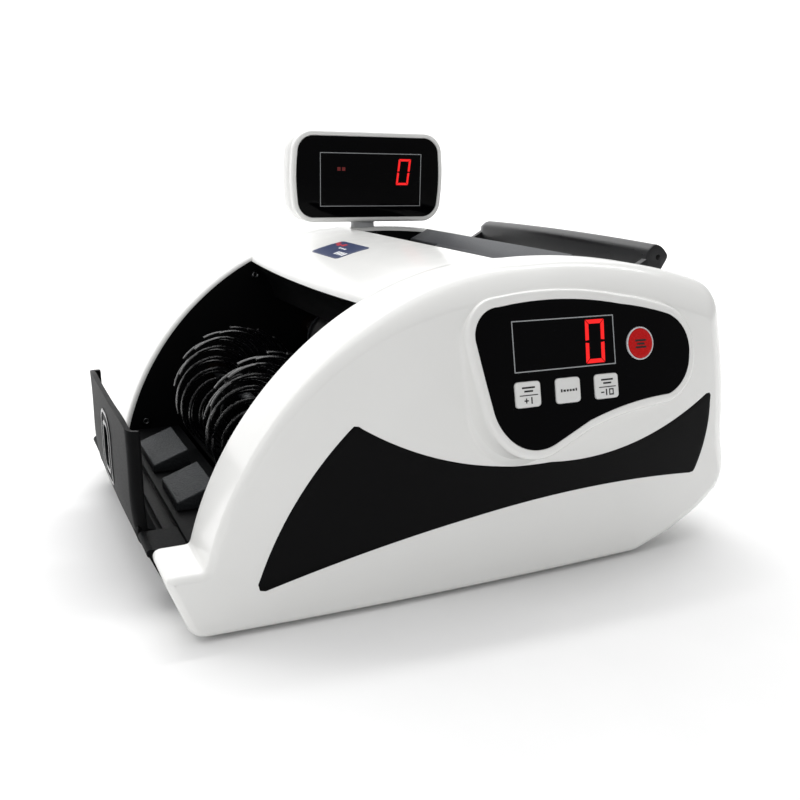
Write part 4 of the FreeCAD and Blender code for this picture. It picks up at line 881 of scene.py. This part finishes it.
    def rib(self, name, wide, tall, corner, profile):
        """A raised loop round the slot: a profile of (inset, rise) carried along a rounded rectangle."""
        centre = (sum(self.SLOT[:2]) / 2, sum(self.SLOT[2:]) / 2)
        loop, _ = lozenge(centre, wide, tall, corner, 120)
        rows = []
        for inset, rise in profile:
            flat = loop + inward(loop) * inset
            rows.append(np.column_stack([self.face_x(flat[:, 0], flat[:, 1]) - rise, flat]))
        finish(grid(name, np.stack(rows), wrap_rows=True), "polished_black_abs", "tray")

    def hub(self):
        """The hinge's barrel, with the foot of the tray running into it."""
        barrel = turned(self.BARREL, (-12.0, 0.0, 25.0), (0, 1, 0), (1, 0, 0), (0, 0, 1), 40)
        finish(grid("tray_barrel", barrel, wrap_rows=True), "etched_black_abs", "tray")
        foot, heart = np.array(self.FOOT), np.array([-15.0, 26.0])
        ends = [(57.6, 0.0), (57.6, 0.93), (58.4, 1.0), (184.6, 1.0), (185.4, 0.93), (185.4, 0.0)]
        web = grid("tray_web", np.stack([at_y(heart + (foot - heart) * share, y) for y, share in ends]))
        finish(web, "etched_black_abs", "tray")


class COUNTER_OT_label(Undoable, bpy.types.Operator):
    """Builds the small label on the hood, with blocks of colour in place of print"""
    bl_idname = "counter.label"
    bl_label = "Hood label"

    def execute(self, context):
        def place(flat, rise):
            return np.column_stack([flat, roof_z(flat[:, 0]) + rise])

        def printed(flat, rise):
            return place(flat, 0.25 + rise * 0.3)

        loop, corners = lozenge((109.5, 133.8), 20.0, 40.2, 2.2)
        sheet = patch("label_sheet", loop, corners, [(0.0, 0.02), (0.0, 0.18), (0.08, 0.24)], place, (24, 16))
        finish(sheet, "navy_paper", replaces=["hood_label"])
        red = [(115.4, 150.6, 3.0, 3.2), (113.6, 145.6, 2.6, 4.4), (114.6, 140.0, 3.2, 4.0)]
        white = [(110.4, 136.0 - 3.6 * k, 1.4, 2.4) for k in range(3)]
        white += [(105.0, 127.0 - 3.4 * k, 3.6, 2.4) for k in range(4)]
        finish(strokes("label_red", red, printed), "red_ink")
        finish(strokes("label_white", white, printed), "white_ink")
        return {"FINISHED"}


class COUNTER_OT_screw_sockets(Undoable, bpy.types.Operator):
    """Adds the bright socket rims of the screws that show in the note bay"""
    bl_idname = "counter.screw_sockets"
    bl_label = "Screw sockets"

    PROFILE = [(0.8, -0.05), (1.9, -0.05), (1.9, 0.06), (1.7, 0.16), (1.35, 0.16), (1.15, 0.02), (0.8, -0.02),
               (0.8, -0.05)]

    def execute(self, context):
        """Each rim is a profile of (radius, height) turned about its screw's axis."""
        heads = [((x, y, z), way) for y, way in ((BAY_NEAR + 0.9, (0, 1, 0)), (BAY_FAR - 0.9, (0, -1, 0)))
                 for x, z in ((82.6, 125.4), (11.0, 37.5))]
        heads.append(((8.0, 115.5, 33.4), (0, 0, 1)))
        first = (1, 0, 0)
        rims = joined("screw_sockets", [
            turned(self.PROFILE, centre, axis, first, np.cross(axis, first), 48) for centre, axis in heads])
        finish(rims, "ground_steel")
        return {"FINISHED"}


HEAD_CENTRE, HEAD_FRONT = np.array([159.5, 185.3]), 207.6
HEAD_WIDTH, HEAD_HEIGHT, HEAD_CORNER, HEAD_BOW = 103.7, 56.2, 13.5, 0.9


class COUNTER_OT_display(Undoable, bpy.types.Operator):
    """Builds the customer display's stem, case, window and digits"""
    bl_idname = "counter.display"
    bl_label = "Customer display"

    def execute(self, context):
        """Each part is a profile of (inset, depth) carried round the front view's outline."""
        round_off([("display_stem", 0.75, "satin_grey_abs", "grey_abs", "frame")])
        loop, _ = lozenge(HEAD_CENTRE, HEAD_WIDTH, HEAD_HEIGHT, HEAD_CORNER, 360, HEAD_BOW)
        normal = inward(loop)

        def rows(profile, closed=False):
            found = [at_y(loop + normal * inset, HEAD_FRONT + y) for inset, y in profile]
            if closed:
                inset, y = profile[-1]
                last = loop + normal * inset - HEAD_CENTRE
                found += [at_y(HEAD_CENTRE + last * share, HEAD_FRONT + y) for share in (0.66, 0.33, 0.0)]
            return np.stack(found)

        turn = np.radians(np.linspace(0, 90, 7))
        bezel = [(3.0, 2.0), (3.0, 0.5), (2.6, 0.05)]
        bezel += [(1.4 - 1.4 * math.sin(a), 1.4 - 1.4 * math.cos(a)) for a in turn]
        bezel += [(0.0, 4.9), (2.2, 4.9), (2.2, 2.0)]
        back = [(2.2, 4.95), (0.15, 4.95), (0.0, 5.15), (0.0, 17.6)]
        back += [(2.4 - 2.4 * math.cos(a), 17.6 + 2.4 * math.sin(a)) for a in turn[1:]]
        lens = [(3.15, 1.9), (3.15, 0.35), (3.3, 0.12), (3.6, 0.05)]
        rim = grid("display_rim", rows(bezel), wrap_rows=True)
        finish(rim, "polished_white_abs", "display", ["display_bezel"])
        case = grid("display_case", rows(back, True))
        finish(case, "polished_white_abs", "display", ["display_back"])
        window = grid("display_window", rows(lens, True))
        finish(window, "coated_black_acrylic", "display", ["display_lens"])

        def place(flat, rise):
            return at_y(flat, HEAD_FRONT - 0.02 - rise)

        line = frame_line("display_line", (160.6, 183.7), 70.2, 32.8, 0.45, place)
        finish(line, "grey_ink", "display")
        digit = zero_segments("display_zero", (183.2, 188.8), 8.8, 16.4, 1.4, 0.12, place)
        finish(digit, "lit_segment", "display")
        icon = strokes("display_icon", [(138.0, 190.3, 2.2, 2.2), (141.2, 190.3, 2.2, 2.2)], place)
        finish(icon, "dim_segment", "display")
        return {"FINISHED"}


# ------------------------------------------------------------------ printed and lit marks
SLAB_FACES = np.array([[0, 1, 2, 3], [7, 6, 5, 4], [0, 4, 5, 1], [1, 5, 6, 2], [2, 6, 7, 3], [3, 7, 4, 0]])


def slabs(name, plates, place):
    """Thin four-cornered plates: two rows of four points each, the upper one raised."""
    points = [place(np.array(plate, float), rise) for plate in plates for rise in (-0.02, 0.05)]
    faces = [SLAB_FACES + 8 * k for k in range(len(plates))]
    return build(name, np.concatenate(points), np.concatenate(faces), smooth=False)


def strokes(name, bars, place):
    """Small printed bars, each given by its middle, width and height."""
    return slabs(name, [[(u - w / 2, v - h / 2), (u + w / 2, v - h / 2), (u + w / 2, v + h / 2),
                         (u - w / 2, v + h / 2)] for u, v, w, h in bars], place)


def frame_line(name, centre, width, height, thick, place):
    """A thin printed rectangle from four bars."""
    (u, v), w, h = centre, width, height
    return strokes(name, [(u, v + h / 2, w + thick, thick), (u, v - h / 2, w + thick, thick),
                          (u - w / 2, v, thick, h - thick), (u + w / 2, v, thick, h - thick)], place)


def zero_segments(name, centre, width, height, thick, slant, place):
    """The figure 0 from six bevelled segments, sheared by its slant."""
    (u, v), w, h, k = centre, width / 2, height / 2, thick
    g = 0.13 * thick
    left_up = [(-w, 2 * g), (-w + k, 3 * g), (-w + k, h - k - g), (-w, h - g)]
    top = [(-w + g, h), (-w + k + g, h - k), (w - k - g, h - k), (w - g, h)]
    plates = [left_up, top, [(-x, y) for x, y in left_up]]
    plates += [[(x, -y) for x, y in plate] for plate in plates]
    return slabs(name, [[(u + x + slant * y, v + y) for x, y in plate] for plate in plates], place)


def panel_at(lift, share=1.0):
    """A placing function: flat points go on the panel, raised by the lift and a share of the rise."""
    def place(flat, rise):
        return on_panel(flat[:, 0], flat[:, 1], np.full(len(flat), -lift - rise * share))
    return place


# Bars stand for the print: middle across, middle up, width, height, in mm from the key's middle.
WORD_BARS = [(0, 3.1, 6.8, 0.8), (0, 1.5, 4.6, 0.8)]
KEY_MARKS = {
    "key_menu": [*WORD_BARS, (0, -0.3, 9.6, 0.45), (-1.4, -2.7, 2.2, 0.6), (-1.4, -2.7, 0.6, 2.2),
                 (1.4, -2.7, 0.7, 3.0)],
    "key_preset": [(-4.0, 0.1, 0.9, 1.4), (-2.4, 0.0, 1.3, 1.0), (-0.7, 0.0, 1.1, 1.0), (0.9, 0.0, 1.1, 1.0),
                   (2.5, 0.0, 1.2, 1.0), (4.0, 0.1, 0.8, 1.3)],
    "key_add": [*WORD_BARS, (0, -0.3, 9.6, 0.45), (-2.9, -2.7, 1.8, 0.6), (-0.7, -2.7, 0.7, 3.0),
                (1.1, -2.7, 0.6, 3.0), (3.1, -2.7, 0.6, 3.0), (2.1, -1.5, 1.5, 0.6), (2.1, -3.9, 1.5, 0.6)],
}
KEY_BODIES = {"key_menu": "menu_key", "key_preset": "preset_key", "key_add": "add_key"}
FIRST_KEY, KEY_STEP = (5.8, -32.6), 21.56
RESET_AT = (70.0, -14.2)
RESET_MARK = [(0, 1.4, 6.4, 0.9), (0, -0.2, 4.4, 0.9), (0, -1.8, 6.4, 0.9)]


class COUNTER_OT_count_window(Undoable, bpy.types.Operator):
    """Draws the count window's line and its lit figure"""
    bl_idname = "counter.count_window"
    bl_label = "Count window"

    def execute(self, context):
        window = frame_line("window_line", (27.5, -11.25), 55.0, 22.5, 0.5, panel_at(0.02))
        finish(window, "grey_ink")
        zero = zero_segments("count_zero", (44.2, -11.4), 10.6, 20.0, 1.9, 0.03, panel_at(0.02))
        finish(zero, "lit_segment")
        return {"FINISHED"}


class COUNTER_OT_keys(Undoable, bpy.types.Operator):
    """Builds the three key caps and their marks"""
    bl_idname = "counter.keys"
    bl_label = "Keys"

    def execute(self, context):
        edge = [(0.0, -4.6), (0.0, 0.15), (0.18, 0.5), (0.6, 0.78), (1.2, 0.88)]
        for k, (name, body) in enumerate(KEY_BODIES.items()):
            u, v = FIRST_KEY[0] + KEY_STEP * k, FIRST_KEY[1]
            loop, corners = lozenge((u, v), 13.3, 11.5, 1.6)
            cap = patch(name + "_cap", loop, corners, edge, panel_at(0.0), (12, 12))
            finish(cap, "grey_silicone", body, [name])
            bars = [(u + a, v + b, w, h) for a, b, w, h in KEY_MARKS[name]]
            mark = strokes(name + "_mark", bars, panel_at(0.89, 0.4))
            finish(mark, "black_ink", body)
        return {"FINISHED"}


class COUNTER_OT_reset_button(Undoable, bpy.types.Operator):
    """Builds the round button's dished cap, its ring and its mark"""
    bl_idname = "counter.reset_button"
    bl_label = "Reset button"

    CAP = [(0, -4.6), (7.1, -4.6), (7.1, 0.3), (6.95, 0.62), (6.6, 0.78), (5.5, 0.8), (3, 0.72), (0, 0.7)]
    RING = [(7.15, -0.5), (7.78, -0.5), (7.78, 0.45), (7.6, 0.6), (7.3, 0.6), (7.15, 0.45), (7.15, -0.5)]

    def execute(self, context):
        """Radius and height are a profile, turned in the panel's plane."""
        centre = on_panel(*RESET_AT, 0.0)
        axes = (PANEL_OUT, PANEL_RIGHT, PANEL_UP, 72)
        cap = grid("reset_cap", turned(self.CAP, centre, *axes))
        finish(cap, "red_abs", "reset_key", ["reset_button"])
        ring = grid("reset_ring", turned(self.RING, centre, *axes))
        finish(ring, "satin_grey_abs", "reset_key")
        bars = [(RESET_AT[0] + a, RESET_AT[1] + b, w, h) for a, b, w, h in RESET_MARK]
        mark = strokes("reset_mark", bars, panel_at(0.76, 0.4))
        finish(mark, "black_ink", "reset_key")
        return {"FINISHED"}


class COUNTER_OT_stage(Undoable, bpy.types.Operator):
    """Builds the floor, the lights and the camera"""
    bl_idname = "counter.stage"
    bl_label = "Stage"

    # the camera's place in machine coordinates, and its turns in degrees
    CAMERA_AT, YAW, PITCH, ROLL = (-77.43, -336.44, 198.98), 25.68, 15.26, 1.18
    FLOOR_HALF, BEND_START, BEND_RADIUS, WALL_TOP = 6.0, 1.5, 0.9, 3.4

    def execute(self, context):
        self.floor()
        self.lights()
        self.camera(context)
        return {"FINISHED"}

    def floor(self):
        """A level floor that turns up behind the machine: a quarter circle, then a wall."""
        turn = np.radians(np.linspace(0, 90, 25))
        bend = zip(self.BEND_START + self.BEND_RADIUS * np.sin(turn), self.BEND_RADIUS * (1 - np.cos(turn)))
        profile = [(-self.FLOOR_HALF, 0.0), *bend, (self.BEND_START + self.BEND_RADIUS, self.WALL_TOP)]
        points = [(x, y, z) for x in (-self.FLOOR_HALF, self.FLOOR_HALF) for y, z in profile]
        mesh = bpy.data.meshes.new("studio_floor")
        faces = grid_faces(2, len(profile), wrap_columns=False)
        mesh.from_pydata(points, [], [tuple(f) for f in faces.tolist()])
        mesh.shade_smooth()
        floor = bpy.data.objects.new("studio_floor", mesh)
        bpy.context.scene.collection.objects.link(floor)
        mesh.materials.append(surface("matt_backdrop_paper", "F4F4F4", "F8F8F8", (0.85, 0.95), 6.0, 0.0))

    def lights(self):
        world = bpy.context.scene.world or bpy.data.worlds.new("studio")
        bpy.context.scene.world = world
        world.use_nodes = True
        background = world.node_tree.nodes["Background"]
        background.inputs["Color"].default_value = (1.0, 1.0, 1.0, 1.0)
        background.inputs["Strength"].default_value = 0.42
        overhead, fill = settings().key_light, settings().fill_light
        machine, backdrop = (0.0, 0.0, 0.07), (1.2, 2.4, 0.8)
        for name, place, aim, size, power in (
                ("overhead_softbox", (-0.3, 0.5, 2.4), machine, (3.2, 3.2), overhead),
                ("backdrop_softbox", (1.1, 0.6, 2.2), backdrop, (3.6, 0.6), 1.3 * overhead),
                ("left_softbox", (-1.3, -0.5, 0.7), machine, (0.7, 0.7), fill)):
            lamp = bpy.data.lights.new(name, "AREA")
            lamp.shape, lamp.size, lamp.size_y, lamp.energy = "RECTANGLE", size[0], size[1], power
            light = bpy.data.objects.new(name, lamp)
            light.location = place
            light.rotation_euler = (Vector(aim) - Vector(place)).to_track_quat("-Z", "Y").to_euler()
            bpy.context.scene.collection.objects.link(light)

    def camera(self, context):
        yaw, pitch, roll = (math.radians(a) for a in (self.YAW, self.PITCH, self.ROLL))
        forward = Vector((math.sin(yaw) * math.cos(pitch), math.cos(yaw) * math.cos(pitch), -math.sin(pitch)))
        level = Vector((math.cos(yaw), -math.sin(yaw), 0.0))
        upright = level.cross(forward)
        right = level * math.cos(roll) + upright * math.sin(roll)
        up = upright * math.cos(roll) - level * math.sin(roll)
        lens = bpy.data.cameras.new("camera")
        lens.sensor_width, lens.lens, lens.clip_start = 36.0, 40.245, 0.02
        camera = bpy.data.objects.new("camera", lens)
        spot = (np.array(self.CAMERA_AT) - ORIGIN) / MM
        turn = Matrix((right, up, -forward)).transposed().to_4x4()
        camera.matrix_world = Matrix.Translation(Vector(spot)) @ turn
        context.scene.collection.objects.link(camera)
        context.scene.camera = camera
        context.scene.view_settings.view_transform = "Standard"


class COUNTER_PT_panel(bpy.types.Panel):
    """Lists the counter's settings and its operators"""
    bl_label = "Banknote counter"
    bl_space_type = "VIEW_3D"
    bl_region_type = "UI"
    bl_category = "Counter"

    def draw(self, context):
        for name in CounterSettings.__annotations__:
            self.layout.prop(context.scene.counter_settings, name)
        for operator in OPERATORS:
            self.layout.operator(operator.bl_idname)


OPERATORS = [
    COUNTER_OT_finishes, COUNTER_OT_housings, COUNTER_OT_hood, COUNTER_OT_end_parts, COUNTER_OT_note_bed,
    COUNTER_OT_handle, COUNTER_OT_finger_wheels, COUNTER_OT_catch_tray, COUNTER_OT_label,
    COUNTER_OT_screw_sockets, COUNTER_OT_display, COUNTER_OT_count_window, COUNTER_OT_keys,
    COUNTER_OT_reset_button, COUNTER_OT_stage]
CLASSES = [CounterSettings, *OPERATORS, COUNTER_PT_panel]


def register():
    for entry in CLASSES:
        bpy.utils.register_class(entry)
    bpy.types.Scene.counter_settings = bpy.props.PointerProperty(type=CounterSettings)


def unregister():
    del bpy.types.Scene.counter_settings
    for entry in reversed(CLASSES):
        bpy.utils.unregister_class(entry)


def main():
    register()
    bpy.ops.counter.finishes()
    bpy.ops.counter.housings()
    bpy.ops.counter.hood()
    bpy.ops.counter.end_parts()
    bpy.ops.counter.note_bed()
    bpy.ops.counter.handle()
    bpy.ops.counter.finger_wheels()
    bpy.ops.counter.catch_tray()
    bpy.ops.counter.label()
    bpy.ops.counter.screw_sockets()
    bpy.ops.counter.display()
    bpy.ops.counter.count_window()
    bpy.ops.counter.keys()
    bpy.ops.counter.reset_button()
    bpy.ops.counter.stage()


if __name__ == "__main__":
    main()
